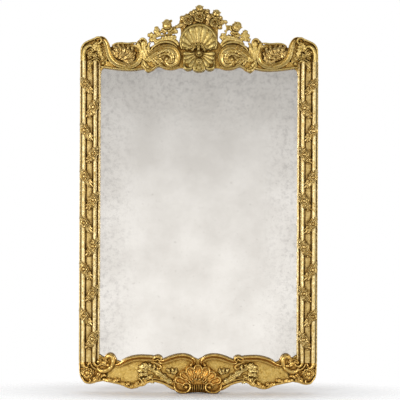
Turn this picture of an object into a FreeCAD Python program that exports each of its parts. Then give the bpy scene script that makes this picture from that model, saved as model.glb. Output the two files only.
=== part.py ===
import FreeCAD, Part
import math
import os
from FreeCAD import Placement, Rotation, Vector

# Giltwood wall mirror: a pegged softwood carcass that carries reeded side mouldings, a carved cresting,
# a carved apron, the mirror plate and its backboards, and two hanging rings.
# Millimetres. The wall is the plane y = 0, the front faces -Y, +Z is up.
# The origin is on the back of the top carcass rail, at the middle of its length and height.

doc = FreeCAD.newDocument("GiltwoodMirror")
sheet = doc.addObject("Spreadsheet::Sheet", "Sizes")

SIZES = (
    # carcass
    ("frame_width", 1076),          # over the outer edges of the two side mouldings
    ("rail_spacing", 1418),         # middle of the top carcass rail to the middle of the bottom one
    ("carcass_thick", 44),
    ("carcass_inset", 10),          # carcass edge set in from the moulding's outer edge
    ("rail_height", 70),
    ("peg_radius", 6),
    ("fit_gap", 0.1),               # clearance of a peg, screw or nail in its hole
    # side mouldings
    ("moulding_width", 92),
    ("reed_height", 40),            # crest of the reeds over the carcass
    ("channel_height", 27),         # floor of the channel over the carcass
    ("sight_height", 14),           # height of the sight edge over the carcass
    ("sight_bead", 5),              # radius of the sight bead
    ("inner_reed", 8),              # half width of the reed next to the glass
    ("outer_reed", 10),             # half width of the reed at the outer edge
    ("inner_reed_place", 24),       # middle of the inner reed from the sight edge
    ("outer_reed_place", 18),       # middle of the outer reed from the outer edge
    ("outer_edge_height", 16),
    ("ear_foot", 20),               # top end of the moulding under the middle of the top rail
    ("corner_foot", 43),            # bottom end of the moulding over the middle of the bottom rail
    ("garland_count", 6),
    ("garland_width", 30),
    ("garland_rise", 58),           # height that a garland climbs while it crosses the moulding
    ("garland_thick", 6),
    # plate and back
    ("glass_lip", 9),               # overlap of the gilt front on the plate's opening
    ("glass_clear", 2),
    ("glass_thick", 5),
    ("block_length", 60),
    ("block_width", 16),
    ("backboard_count", 5),
    ("backboard_thick", 9),
    ("backboard_gap", 1),
    ("back_rebate", 12),            # width of the ledge that the backboards lie on
    ("nail_thick", 4),
    ("nail_length", 21),
    ("nail_edge_distance", 30),
    # hanging
    ("hang_space", 9),              # room for the rings between the batten and the wall
    ("batten_height", 90),
    ("batten_thick", 12),
    ("batten_drop", 210),           # middle of the batten under the middle of the top rail
    ("batten_housing", 30),         # length of the batten's end in the stile
    ("hanger_place", 137),          # hangers inwards from the edge of the backboards
    ("strap_width", 26),
    ("strap_thick", 2.5),
    ("strap_length", 56),
    ("ring_inside", 30),
    ("ring_bar", 5),
    ("ring_straight", 10),          # straight arm of the ring, pivot to the start of its bow
    ("pivot_gap", 0.3),
    ("knuckle_wall", 1.8),
    ("pivot_over_edge", 12),        # ring pivot over the batten's lower edge
    ("screw_radius", 2.2),
    ("screw_head", 4.2),
    ("screw_head_thick", 1.5),
    ("screw_length", 11),
    ("brace_width", 60),
    ("brace_thick", 24),
    ("brace_housing", 40),          # depth of the brace's foot in the top rail
    ("brace_rise", 165),            # top of the brace over the top rail
    ("carcass_screw_length", 30),
    # carved boards
    ("carving_unit", 1),            # one unit of the drawing that the carving follows
    ("board_thick", 16),
    ("ear_width", 136),
    ("ear_rise", 94),               # top of the ears over the middle of the top rail
    ("corner_width", 98),
    ("corner_drop", 60),            # foot of the bottom corners under the middle of the bottom rail
    ("crest_rise", 212),            # top of the cresting board over the middle of the top rail
    ("crest_drop", 48),             # lower edge of the cresting under the middle of the top rail
    ("apron_drop", 78),             # general lower edge of the apron under the middle of the bottom rail
    ("apron_rise", 72),             # top of the apron's arches over the middle of the bottom rail
    # scrolls and leaves
    ("scroll_width", 20),
    ("scroll_height", 18),
    ("rim_width", 16),
    ("rim_height", 18),
    ("basin_radius", 71),           # of a basin in the space below
    ("basin_space", 262),           # from the middle of the volute to the ear
    ("volute_radius", 50),
    ("volute_place", 140),          # middle of the cresting's volutes from the centre line
    ("leaf_height", 0.42),          # ridge height of a leaf as a share of its width
    # shells
    ("shell_radius", 94),
    ("shell_hinge", 12),            # inner radius where the flutes begin
    ("shell_flutes", 9),
    ("shell_depth", 34),            # flutes at the rim over the board
    ("shell_centre", 50),           # hinge over the middle of the top rail
    ("pendant_radius", 66),
    ("pendant_lobes", 7),
    ("pendant_depth", 20),
    ("apron_shell_radius", 88),
    ("apron_shell_lobes", 7),
    ("apron_shell_depth", 30),
    ("apron_shell_drop", 66),       # hinge under the middle of the bottom rail
    ("rose_radius", 25),
    ("side_rose_radius", 22),
    ("rose_height", 24),
)
for row, (alias, number) in enumerate(SIZES, start=1):
    sheet.set(f"A{row}", alias)
    sheet.set(f"B{row}", str(number))
    sheet.setAlias(f"B{row}", alias)
doc.recompute()


def value(expression):
    """Number that an expression in the sheet's sizes gives."""
    return float(sheet.evalExpression(expression))


def size(alias):
    return float(sheet.get(alias))


# Places that several pieces share, as expressions in the driving sizes
HALF = "(Sizes.frame_width / 2)"
SIGHT = f"({HALF} - Sizes.moulding_width)"
STILE_IN = f"({SIGHT} + Sizes.glass_lip)"
STILE_OUT = f"({HALF} - Sizes.carcass_inset)"
RAIL_TOP = "(Sizes.rail_height / 2)"
RAIL_LOW = "(-Sizes.rail_height / 2)"
FOOT_TOP = "(-Sizes.rail_spacing + Sizes.rail_height / 2)"
FOOT_LOW = "(-Sizes.rail_spacing - Sizes.rail_height / 2)"
FRONT = "(-Sizes.carcass_thick)"
LAP = "(-Sizes.carcass_thick / 2)"
PLATE_BACK = f"({FRONT} + Sizes.glass_thick)"
BOARD_BACK = "(-Sizes.hang_space - Sizes.batten_thick)"
LEDGE = f"({BOARD_BACK} - Sizes.backboard_thick)"
BACK_EDGE = f"({STILE_IN} + Sizes.back_rebate)"
HANGER = f"({BACK_EDGE} - Sizes.hanger_place)"
BATTEN_TOP = "(-Sizes.batten_drop + Sizes.batten_height / 2)"
BATTEN_LOW = "(-Sizes.batten_drop - Sizes.batten_height / 2)"
EAR_IN = f"({HALF} - Sizes.ear_width)"
CORNER_IN = f"({HALF} - Sizes.corner_width)"
MOULDING_TOP = "(-Sizes.ear_foot)"
MOULDING_LOW = "(-Sizes.rail_spacing + Sizes.corner_foot)"

sub_parts = []


def keep(piece, label):
    """Name a finished piece and put it on the list of pieces to write."""
    piece.Label = label
    sub_parts.append(piece)
    return piece


def mirror_image(source, label):
    """The left-hand piece, as the mirror image of the right-hand one."""
    image = doc.addObject("Part::Mirroring", label)
    image.Source = source
    image.Base = Vector(0, 0, 0)
    image.Normal = Vector(1, 0, 0)
    return keep(image, label)


def block(name, x_range, y_range, z_range):
    """Box between expressions for its low and high faces."""
    box = doc.addObject("Part::Box", name)
    sides = zip("xyz", ("Length", "Width", "Height"), (x_range, y_range, z_range))
    for axis, length, (low, high) in sides:
        box.setExpression(length, f"({high}) - ({low})")
        box.setExpression(f"Placement.Base.{axis}", low)
    return box


def cut(name, base, tools):
    """Base less all of the tools."""
    tool = tools[0]
    if len(tools) > 1:
        tool = doc.addObject("Part::Compound", f"{name}_cuts")
        tool.Links = tools
    result = doc.addObject("Part::Cut", name)
    result.Base = base
    result.Tool = tool
    return result


def formed(label, shape):
    """Piece whose shape is worked out from the sheet's sizes."""
    piece = doc.addObject("Part::Feature", label)
    piece.Shape = shape
    return keep(piece, label)


def heading_vector(angle):
    """Unit vector in the plane of the wall, turned from +X towards +Z."""
    return Vector(math.cos(math.radians(angle)), 0, math.sin(math.radians(angle)))


FACET_TURN = 22.5               # degrees of an arc in one facet


def arc_places(centre, radius, start_angle, turn):
    """Places along an arc, one for each facet, without the first."""
    count = max(2, math.ceil(abs(turn) / FACET_TURN))
    return [centre + heading_vector(start_angle + turn * number / count) * radius
            for number in range(1, count + 1)]


def turned_bar(x, y, z, radius, length):
    """Six-sided bar along Y: its back end at y, running towards the front."""
    ring = [Vector(x, y, z) + heading_vector(60 * side) * radius for side in range(6)]
    return Part.Face(Part.makePolygon(ring + ring[:1])).extrude(Vector(0, -length, 0))


def screw(x, y, z, length, gap=0.0):
    """Screw driven from the back into a face at y, with its head on that face."""
    head = turned_bar(x, y + size("screw_head_thick") + gap, z, size("screw_head") + gap,
                      size("screw_head_thick") + gap)
    return head.fuse(turned_bar(x, y, z, size("screw_radius") + gap, length + gap))


# Headless cut nails of the backboards: two at each end of each board, driven into the stiles' ledges
def nail(x, z, gap):
    half_thick = size("nail_thick") / 2 + gap
    length = size("nail_length") + gap
    corner = Vector(x - half_thick, value(BOARD_BACK) - length, z - half_thick)
    return Part.makeBox(2 * half_thick, length, 2 * half_thick, corner)


BOARD_HEIGHT = (f"(({RAIL_LOW} - {FOOT_TOP} + 2 * Sizes.back_rebate - Sizes.backboard_gap)"
                " / Sizes.backboard_count)")
board_count = int(size("backboard_count"))
nail_line = value(f"{STILE_IN} + Sizes.back_rebate / 2")
nail_edge_distance = size("nail_edge_distance")
nail_places = []
for number in range(board_count):
    board_low = value(f"{FOOT_TOP} - Sizes.back_rebate + Sizes.backboard_gap + {number} * {BOARD_HEIGHT}")
    board_high = board_low + value(BOARD_HEIGHT) - size("backboard_gap")
    for nail_z in (board_low + nail_edge_distance, board_high - nail_edge_distance):
        nail_places += [(-nail_line, nail_z), (nail_line, nail_z)]
nail_holes = doc.addObject("Part::Feature", "nail_holes")
nail_holes.Shape = Part.makeCompound([nail(x, z, size("fit_gap")) for x, z in nail_places])
formed("backboard_nails", Part.makeCompound([nail(x, z, 0) for x, z in nail_places]))


# Pegs of the four lap joints
def peg(name, side, level, gap):
    prism = doc.addObject("Part::Prism", name)
    prism.Polygon = 8
    prism.setExpression("Circumradius", f"Sizes.peg_radius + {gap}")
    prism.setExpression("Height", "Sizes.carcass_thick")
    prism.Placement = Placement(Vector(0, 0, 0), Rotation(Vector(1, 0, 0), 90))
    prism.setExpression("Placement.Base.x", f"{side} * ({STILE_IN} + {STILE_OUT}) / 2")
    prism.setExpression("Placement.Base.z", level)
    return prism


pegs = []
peg_holes = []
for level_name, level in (("top", "0"), ("bottom", "-Sizes.rail_spacing")):
    for side_name, side in (("left", -1), ("right", 1)):
        pegs.append(peg(f"peg_{level_name}_{side_name}", side, level, "0"))
        peg_holes.append(peg(f"peg_hole_{level_name}_{side_name}", side, level, "Sizes.fit_gap"))
lap_joint_pegs = doc.addObject("Part::Compound", "lap_joint_pegs")
lap_joint_pegs.Links = pegs
keep(lap_joint_pegs, "lap_joint_pegs")

# Screws of the hanging batten, two at each end, and of the crest brace
BRACE_LOW = f"({RAIL_TOP} - Sizes.brace_housing)"
BRACE_BACK = f"({FRONT} + Sizes.brace_thick)"
batten_screw_line = value(f"{BACK_EDGE} + Sizes.batten_housing / 2")
carcass_screw_places = []
for batten_side in (-1, 1):
    for level in (-0.25, 0.25):
        screw_z = value(f"-Sizes.batten_drop + {level} * Sizes.batten_height")
        carcass_screw_places.append((batten_side * batten_screw_line, -size("hang_space"), screw_z))
for share in (0.25, 0.6):
    carcass_screw_places.append((0, value(BRACE_BACK), value(f"{RAIL_TOP} + {share} * Sizes.brace_rise")))
carcass_screw_holes = doc.addObject("Part::Feature", "carcass_screw_holes")
carcass_screw_holes.Shape = Part.makeCompound(
    [screw(*place, size("carcass_screw_length"), size("fit_gap")) for place in carcass_screw_places])
formed("carcass_screws",
       Part.makeCompound([screw(*place, size("carcass_screw_length")) for place in carcass_screw_places]))

# Carcass stiles: lapped behind the rails' ends, rebated for the backboards and housed for the batten
stile = block("stile_blank", (STILE_IN, STILE_OUT), (FRONT, "0"), (FOOT_LOW, RAIL_TOP))
stile_cuts = [
    block("stile_top_lap", (STILE_IN, STILE_OUT), (LAP, "0"), (RAIL_LOW, RAIL_TOP)),
    block("stile_bottom_lap", (STILE_IN, STILE_OUT), (LAP, "0"), (FOOT_LOW, FOOT_TOP)),
    block("stile_rebate", (STILE_IN, BACK_EDGE), (LEDGE, "0"),
          (f"{FOOT_TOP} - Sizes.back_rebate", f"{RAIL_LOW} + Sizes.back_rebate")),
    block("stile_housing", (BACK_EDGE, f"{BACK_EDGE} + Sizes.batten_housing"), (BOARD_BACK, "0"),
          (f"{BATTEN_LOW} - Sizes.fit_gap", f"{BATTEN_TOP} + Sizes.fit_gap")),
    nail_holes, carcass_screw_holes, peg_holes[1], peg_holes[3],
]
stile_right = keep(cut("carcass_stile_right", stile, stile_cuts), "carcass_stile_right")
mirror_image(stile_right, "carcass_stile_left")

# Carcass rails: they run the full width behind the stiles' laps; the top one is housed for the crest brace
for rail_name, rail_low, rail_high, rebate, rail_pegs in (
        ("top", RAIL_LOW, RAIL_TOP, (RAIL_LOW, f"{RAIL_LOW} + Sizes.back_rebate"), peg_holes[:2]),
        ("bottom", FOOT_LOW, FOOT_TOP, (f"{FOOT_TOP} - Sizes.back_rebate", FOOT_TOP), peg_holes[2:])):
    rail = block(f"rail_{rail_name}_blank", (f"-{STILE_OUT}", STILE_OUT), (FRONT, "0"), (rail_low, rail_high))
    rail_cuts = [
        block(f"rail_{rail_name}_lap_left", (f"-{STILE_OUT}", f"-{STILE_IN}"), (FRONT, LAP),
              (rail_low, rail_high)),
        block(f"rail_{rail_name}_lap_right", (STILE_IN, STILE_OUT), (FRONT, LAP),
              (rail_low, rail_high)),
        block(f"rail_{rail_name}_rebate", (f"-{BACK_EDGE}", BACK_EDGE), (LEDGE, "0"), rebate),
    ] + rail_pegs
    if rail_name == "top":
        rail_cuts.append(block("brace_housing", ("-Sizes.brace_width / 2", "Sizes.brace_width / 2"),
                               (FRONT, BRACE_BACK), (BRACE_LOW, rail_high)))
    keep(cut(f"carcass_rail_{rail_name}", rail, rail_cuts), f"carcass_rail_{rail_name}")

# Mirror plate, the blocks that it stands on and the blocks glued behind its edge
PLATE_EDGE = f"({STILE_IN} - Sizes.glass_clear)"
PLATE_LOW = f"({FOOT_TOP} + Sizes.glass_clear)"
PLATE_TOP = f"({RAIL_LOW} - Sizes.glass_clear)"
keep(block("mirror_plate", (f"-{PLATE_EDGE}", PLATE_EDGE), (FRONT, PLATE_BACK), (PLATE_LOW, PLATE_TOP)),
     "mirror_plate")


def group(label, pieces):
    compound = doc.addObject("Part::Compound", label)
    compound.Links = pieces
    return keep(compound, label)


SETTING_PLACE = f"({PLATE_EDGE} / 2)"
glass_blocks = [
    block(f"setting_block_{name}",
          (f"{side} * {SETTING_PLACE} - Sizes.block_length / 2",
           f"{side} * {SETTING_PLACE} + Sizes.block_length / 2"),
          (FRONT, PLATE_BACK), (FOOT_TOP, PLATE_LOW))
    for name, side in (("left", -1), ("right", 1))]
for name, side in (("left", -1), ("right", 1)):
    edges = [f"{side} * {STILE_IN}", f"{side} * ({STILE_IN} - Sizes.block_width)"]
    if side < 0:
        low_x, high_x = edges
    else:
        high_x, low_x = edges
    for number in range(4):
        middle = f"({PLATE_LOW} + ({number} + 0.5) / 4 * ({PLATE_TOP} - {PLATE_LOW}))"
        glass_blocks.append(block(
            f"glazing_block_{name}_{number + 1}", (low_x, high_x), (PLATE_BACK, LEDGE),
            (f"{middle} - Sizes.block_length / 2", f"{middle} + Sizes.block_length / 2")))
    middle = f"({side} * {PLATE_EDGE} / 2)"
    for level, low_z, high_z in (("top", f"{RAIL_LOW} - Sizes.block_width", RAIL_LOW),
                                 ("bottom", FOOT_TOP, f"{FOOT_TOP} + Sizes.block_width")):
        glass_blocks.append(block(
            f"glazing_block_{level}_{name}",
            (f"{middle} - Sizes.block_length / 2", f"{middle} + Sizes.block_length / 2"),
            (PLATE_BACK, LEDGE), (low_z, high_z)))
group("glass_blocks", glass_blocks)

# Backboards: planks laid across the back in the carcass rebate
BOARD_EDGE = f"({BACK_EDGE} - Sizes.backboard_gap)"
for number in range(board_count):
    low = f"({FOOT_TOP} - Sizes.back_rebate + Sizes.backboard_gap + {number} * {BOARD_HEIGHT})"
    high = f"({low} + {BOARD_HEIGHT} - Sizes.backboard_gap)"
    plank = block(f"backboard_blank_{number + 1}", (f"-{BOARD_EDGE}", BOARD_EDGE),
                  (LEDGE, BOARD_BACK), (low, high))
    keep(cut(f"backboard_{number + 1}", plank, [nail_holes]), f"backboard_{number + 1}")

# Hanging batten: housed in the stiles behind the backboards
PIVOT_Z = f"({BATTEN_LOW} + Sizes.pivot_over_edge)"
hanger_x = value(HANGER)
pivot_z = value(PIVOT_Z)
pivot_radius = size("ring_bar") / 2
knuckle_radius = pivot_radius + size("pivot_gap") + size("knuckle_wall")
pivot_y = -size("hang_space") + knuckle_radius
strap_back = -size("hang_space") + size("strap_thick")
hanger_screw_places = []
for hanger_side in (-1, 1):
    for share in (0.45, 0.85):
        screw_z = pivot_z + share * size("strap_length")
        hanger_screw_places.append((hanger_side * hanger_x, strap_back, screw_z))
hanger_screw_holes = doc.addObject("Part::Feature", "hanger_screw_holes")
hanger_screw_holes.Shape = Part.makeCompound(
    [screw(*place, size("screw_length"), size("fit_gap")) for place in hanger_screw_places])
formed("hanger_screws",
       Part.makeCompound([screw(*place, size("screw_length")) for place in hanger_screw_places]))
batten = block("batten_blank",
               (f"-{BACK_EDGE} - Sizes.batten_housing", f"{BACK_EDGE} + Sizes.batten_housing"),
               (BOARD_BACK, "-Sizes.hang_space"), (BATTEN_LOW, BATTEN_TOP))
keep(cut("hanging_batten", batten, [nail_holes, carcass_screw_holes, hanger_screw_holes]), "hanging_batten")

# Hanger straps: a flat iron strap whose lower end is rolled into a knuckle for the ring
STRAP_HALF = "(Sizes.strap_width / 2)"
strap_plate = block("strap_plate",
                    (f"{HANGER} - {STRAP_HALF}", f"{HANGER} + {STRAP_HALF}"),
                    ("-Sizes.hang_space", "-Sizes.hang_space + Sizes.strap_thick"),
                    (PIVOT_Z, f"{PIVOT_Z} + Sizes.strap_length"))
KNUCKLE = "(Sizes.ring_bar / 2 + Sizes.pivot_gap + Sizes.knuckle_wall)"


def along_pivot(bar):
    """Lay a bar along the ring's pivot, over the width of the strap."""
    bar.setExpression("Height", "Sizes.strap_width")
    bar.Placement = Placement(Vector(0, 0, 0), Rotation(Vector(0, 1, 0), 90))
    bar.setExpression("Placement.Base.x", f"{HANGER} - {STRAP_HALF}")
    bar.setExpression("Placement.Base.y", f"-Sizes.hang_space + {KNUCKLE}")
    bar.setExpression("Placement.Base.z", PIVOT_Z)
    return bar


knuckle = along_pivot(doc.addObject("Part::Prism", "knuckle"))
knuckle.Polygon = 8
knuckle.setExpression("Circumradius", KNUCKLE)
bore = along_pivot(doc.addObject("Part::Cylinder", "knuckle_bore"))
bore.setExpression("Radius", "Sizes.ring_bar / 2 + Sizes.pivot_gap")
strap_body = doc.addObject("Part::Fuse", "strap_body")
strap_body.Base = strap_plate
strap_body.Tool = knuckle
strap_right = keep(cut("hanger_strap_right", strap_body, [bore, hanger_screw_holes]), "hanger_strap_right")
mirror_image(strap_right, "hanger_strap_left")


# Hanger rings: a flat bar bent to a bow, with a round pivot bar through the knuckle
def ring_outline(half_width, top):
    """Outline of the bow: two straight arms and a half round under them."""
    arm_foot = pivot_z - size("ring_straight")
    corners = [Vector(hanger_x - half_width, 0, top), Vector(hanger_x - half_width, 0, arm_foot)]
    corners += arc_places(Vector(hanger_x, 0, arm_foot), half_width, 180, 180)
    corners.append(Vector(hanger_x + half_width, 0, top))
    return Part.makePolygon(corners + corners[:1])


def ring_shape():
    bar = size("ring_bar")
    inside = size("ring_inside") / 2
    top = pivot_z + bar / 2
    outer = Part.Face(ring_outline(inside + bar, top)).extrude(Vector(0, -bar, 0))
    inner = Part.Face(ring_outline(inside, top)).extrude(Vector(0, -bar, 0))
    bow = outer.cut(inner)
    bow.translate(Vector(0, pivot_y + bar / 2, 0))
    pivot_start = Vector(hanger_x - inside, pivot_y, pivot_z)
    pivot = Part.makeCylinder(bar / 2, 2 * inside, pivot_start, Vector(1, 0, 0))
    return bow.fuse(pivot).removeSplitter()


ring_right = formed("hanger_ring_right", ring_shape())
mirror_image(ring_right, "hanger_ring_left")

# Crest brace: a batten housed in the top rail and screwed to the back of the cresting board
brace = block("brace_blank", ("-Sizes.brace_width / 2", "Sizes.brace_width / 2"), (FRONT, BRACE_BACK),
              (BRACE_LOW, f"{RAIL_TOP} + Sizes.brace_rise"))
keep(cut("crest_brace", brace, [carcass_screw_holes]), "crest_brace")


# Outlines in a plane: each edge is a start, a point on its arc or None, and an end
def chain(start, *stops):
    """Edges through the stops: a stop is a corner, or a pair of a point on an arc and the arc's end."""
    edges = []
    here = start
    for stop in stops:
        via, end = stop if isinstance(stop[0], tuple) else (None, stop)
        edges.append((here, via, end))
        here = end
    return edges


def flipped(edges):
    """The same edges on the other side of the centre line, in reverse order."""
    def flip(corner):
        return None if corner is None else (-corner[0], corner[1])
    return [(flip(end), flip(via), flip(start)) for start, via, end in reversed(edges)]


def curves(edges, scale):
    """Lines and arcs for a sketch, from corners in units of a scale."""
    result = []
    for edge in edges:
        places = [Vector(corner[0], corner[1], 0) * scale for corner in edge if corner is not None]
        result.append(Part.LineSegment(*places) if len(places) == 2 else Part.Arc(*places))
    return result


def padded_body(label, plane, edges, scale, offset, length):
    """Body with one padded sketch, offset along its plane's normal; its edges are in units of the scale."""
    body = doc.addObject("PartDesign::Body", label)
    sketch = body.newObject("Sketcher::SketchObject", f"{label}_outline")
    origin_plane = next(feature for feature in body.Origin.OriginFeatures if feature.Role == plane)
    sketch.AttachmentSupport = [(origin_plane, "")]
    sketch.MapMode = "FlatFace"
    sketch.setExpression("AttachmentOffset.Base.z", offset)
    sketch.addGeometry(curves(edges, scale))
    pad = body.newObject("PartDesign::Pad", f"{label}_pad")
    pad.Profile = sketch
    pad.setExpression("Length", length)
    return body


sight_edge_x = value(SIGHT)
front = value(FRONT)


REED_FLANK = 0.8                # fall of a reed at its edges as a share of its half width
REED_QUIRK = 2                  # width of the slope beside a reed


# Side mouldings: sight bead, inner reed, hollow channel, outer reed and a cove at the outer edge
def moulding_section():
    width = size("moulding_width")
    crest = size("reed_height")
    floor = size("channel_height")
    sight_edge = size("sight_height")
    bead = size("sight_bead")
    inner = size("inner_reed")
    outer = size("outer_reed")
    inner_middle = size("inner_reed_place")
    outer_middle = width - size("outer_reed_place")
    outer_edge = size("outer_edge_height")
    hollow = 1.5

    def at(across, height):
        return (sight_edge_x + across, front - height)

    return chain(
        at(0, 0),
        at(0, sight_edge),
        (at(bead, sight_edge + bead), at(2 * bead, sight_edge)),
        at(2 * bead + REED_QUIRK / 2, sight_edge),
        at(inner_middle - inner, crest - REED_FLANK * inner),
        (at(inner_middle, crest), at(inner_middle + inner, crest - REED_FLANK * inner)),
        at(inner_middle + inner + REED_QUIRK, floor),
        (at((inner_middle + inner + outer_middle - outer) / 2, floor - hollow),
         at(outer_middle - outer - REED_QUIRK, floor)),
        at(outer_middle - outer, crest - REED_FLANK * outer),
        (at(outer_middle, crest), at(outer_middle + outer, crest - REED_FLANK * outer)),
        (at((outer_middle + outer + width) / 2 - REED_QUIRK, (crest - REED_FLANK * outer + outer_edge) / 2),
         at(width, outer_edge)),
        at(width, 0),
        at(0, 0))


moulding_right = padded_body("reeded_moulding_right", "XY_Plane", moulding_section(), 1, MOULDING_LOW,
                             f"{MOULDING_TOP} - {MOULDING_LOW}")
keep(moulding_right, "reeded_moulding_right")
mirror_image(moulding_right, "reeded_moulding_left")


# Garlands: leafy bands that cross the moulding from its outer edge or from its sight edge
def reed_cover(middle, half_width):
    """Corners of flat facets that touch a reed from outside, from its sight side to its outer side."""
    drop = REED_FLANK * half_width
    radius = (half_width ** 2 + drop ** 2) / (2 * drop)
    centre = size("reed_height") - radius
    spread = math.asin(half_width / radius)
    facets = 2
    corners = [(middle - half_width, centre + radius * math.cos(spread))]
    for number in range(facets):
        angle = spread * (2 * (number + 0.5) / facets - 1)
        reach = radius / math.cos(spread / facets)
        corners.append((middle + reach * math.sin(angle), centre + reach * math.cos(angle)))
    corners.append((middle + half_width, centre + radius * math.cos(spread)))
    return corners


def garland_section():
    """Underside of a garland across the moulding, as (across, height) corners."""
    bead = size("sight_bead")
    width = size("moulding_width")
    inner = size("inner_reed")
    outer = size("outer_reed")
    inner_middle = size("inner_reed_place")
    outer_middle = width - size("outer_reed_place")
    return ([(0, size("sight_height") + bead), (2 * bead, size("sight_height") + bead)]
            + reed_cover(inner_middle, inner)
            + [(inner_middle + inner + REED_QUIRK, size("channel_height")),
               (outer_middle - outer - REED_QUIRK, size("channel_height"))]
            + reed_cover(outer_middle, outer)
            + [(width, size("outer_edge_height"))])


def garland(start_across, end_across):
    """One garland at z = 0, from the top of its climb at start_across to its foot at end_across."""
    rise = size("garland_rise")
    half_width = size("garland_width") / 2
    start = Vector(sight_edge_x + start_across, 0, rise / 2)
    end = Vector(sight_edge_x + end_across, 0, -rise / 2)
    along = end - start
    across = Vector(-along.z, 0, along.x).normalize()
    lobes = ((0, 0.55), (0.45, 1), (1, 0.15))
    near = [start + along * share + across * half_width * wide for share, wide in lobes]
    far = [start + along * share - across * half_width * wide for share, wide in reversed(lobes)]
    reach = size("carcass_thick") + size("reed_height") + 2 * size("garland_thick")
    band = Part.Face(Part.makePolygon(near + far + near[:1])).extrude(Vector(0, -reach, 0))
    under = [Vector(sight_edge_x + place, front - height, -rise) for place, height in garland_section()]
    over = [corner - Vector(0, size("garland_thick"), 0) for corner in reversed(under)]
    saddle = Part.Face(Part.makePolygon(under + over + under[:1])).extrude(Vector(0, 0, 2 * rise))
    return band.common(saddle)


garland_count = int(size("garland_count"))
garland_pitch = value(f"({MOULDING_TOP} - {MOULDING_LOW}) / (Sizes.garland_count + 0.5)")
outer_garland = garland(size("moulding_width"), size("inner_reed_place") + size("inner_reed"))
inner_garland = garland(0, size("moulding_width") - size("outer_reed_place") - size("outer_reed"))
for name, template, first in (("outer", outer_garland, 0.54), ("inner", inner_garland, 1.04)):
    copies = []
    for number in range(garland_count):
        copy = template.copy()
        copy.translate(Vector(0, 0, value(MOULDING_TOP) - (first + number) * garland_pitch))
        copies.append(copy)
    garland_right = formed(f"garland_right_{name}", Part.makeCompound(copies))
    mirror_image(garland_right, f"garland_left_{name}")


# The carving follows a drawing, in units of its own: numbers from here on are in those units
unit = size("carving_unit")
relief = front - size("board_thick")        # face of the carved boards, in millimetres


def drawn(alias):
    """Size in units of the drawing."""
    return size(alias) / unit


half = value(HALF) / unit
sight = value(SIGHT) / unit
ear_in = value(EAR_IN) / unit
corner_in = value(CORNER_IN) / unit
foot = -drawn("rail_spacing")


def on_board(x, z):
    """Place on the face of the carved boards."""
    return Vector(x * unit, relief, z * unit)


# Shapes of the relief carving: each stands on a flat face at y = relief and rises towards the front
def faceted(rings):
    """Solid with flat faces between neighbouring rings of corners and a flat face at each end."""
    faces = [Part.Face(Part.makePolygon(ring + ring[:1])) for ring in (rings[0], rings[-1])]
    for near, far in zip(rings, rings[1:]):
        for number in range(len(near)):
            following = (number + 1) % len(near)
            corners = [near[number], near[following], far[following], far[number]]
            faces.append(Part.Face(Part.makePolygon(corners + corners[:1])))
    solid = Part.makeSolid(Part.makeShell(faces))
    if solid.Volume < 0:
        solid.reverse()
    return solid


def run(x, z, heading, *steps):
    """Path of straight runs (0, length) and tangent arcs (radius, turn); a left turn is positive."""
    places = [on_board(x, z)]
    for radius, amount in steps:
        if radius == 0:
            places.append(places[-1] + heading_vector(heading) * (amount * unit))
        else:
            side = heading + math.copysign(90, amount)
            centre = places[-1] + heading_vector(side) * (radius * unit)
            places += arc_places(centre, radius * unit, side + 180, amount)
            heading += amount
    return places


def arch(start, via, end):
    """Path of one arc on the face of the board, through three places given as (x, z)."""
    circle = Part.Arc(*[on_board(x, z) for x, z in (start, via, end)])
    return circle.toShape().discretize(Number=1 + max(3, math.ceil(
        math.degrees(circle.LastParameter - circle.FirstParameter) / FACET_TURN)))


def scroll(path, width, height):
    """Moulded band along a path, mitred at each facet: two walls and a ridge over a flat back."""
    section = ((0.5, 0), (0.5, 0.5), (0, 1), (-0.5, 0.5), (-0.5, 0))
    directions = [(end - start).normalize() for start, end in zip(path, path[1:])]
    rings = []
    for place, before, after in zip(path, directions[:1] + directions, directions + directions[-1:]):
        along = (before + after).normalize()
        mitre = 1 / along.dot(after)
        across = Vector(-along.z, 0, along.x) * (mitre * width * unit)
        rings.append([place + across * side - Vector(0, height * share * unit, 0) for side, share in section])
    return faceted(rings)


def leaf(x, z, heading, length, width):
    """Pointed leaf with a ridge down its middle."""
    along = heading_vector(heading)
    across = Vector(-along.z, 0, along.x)
    rings = []
    for share, wide in ((0, 0.4), (0.45, 1), (1, 0.06)):
        middle = on_board(x, z) + along * (length * share * unit)
        side = across * (width * wide / 2 * unit)
        ridge = middle - Vector(0, size("leaf_height") * width * wide * unit, 0)
        rings.append([middle + side, ridge, middle - side])
    return faceted(rings)


def knob(x, z, radius, height):
    """Six-sided boss, drawn in towards its top."""
    rings = []
    for share, wide in ((0, 1), (0.6, 0.85), (1, 0.4)):
        middle = on_board(x, z) - Vector(0, height * share * unit, 0)
        rings.append([middle + heading_vector(60 * side) * (radius * wide * unit) for side in range(6)])
    return faceted(rings)


def fan(x, z, angles, inner, outer, depth):
    """Fan of ridged flutes that widen and rise from the hinge to the rim."""
    flute = ((1, 0), (1, 0.55), (0, 1), (-1, 0.55), (-1, 0))
    spread = 1.03 * math.tan(math.radians(abs(angles[1] - angles[0]) / 2))
    flutes = []
    for angle in angles:
        outward = heading_vector(angle)
        across = Vector(-outward.z, 0, outward.x)
        rings = []
        for radius, scale in ((inner, inner / outer), (outer, 1), (1.05 * outer, 0.7)):
            middle = on_board(x, z) + outward * (radius * unit)
            ring_scale = scale * unit
            rings.append([middle + (across * (side * spread * outer) - Vector(0, height * depth, 0)) * ring_scale
                          for side, height in flute])
        flutes.append(faceted(rings))
    return joined(flutes)


def joined(shapes):
    return shapes[0].multiFuse(shapes[1:]).removeSplitter()


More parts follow.
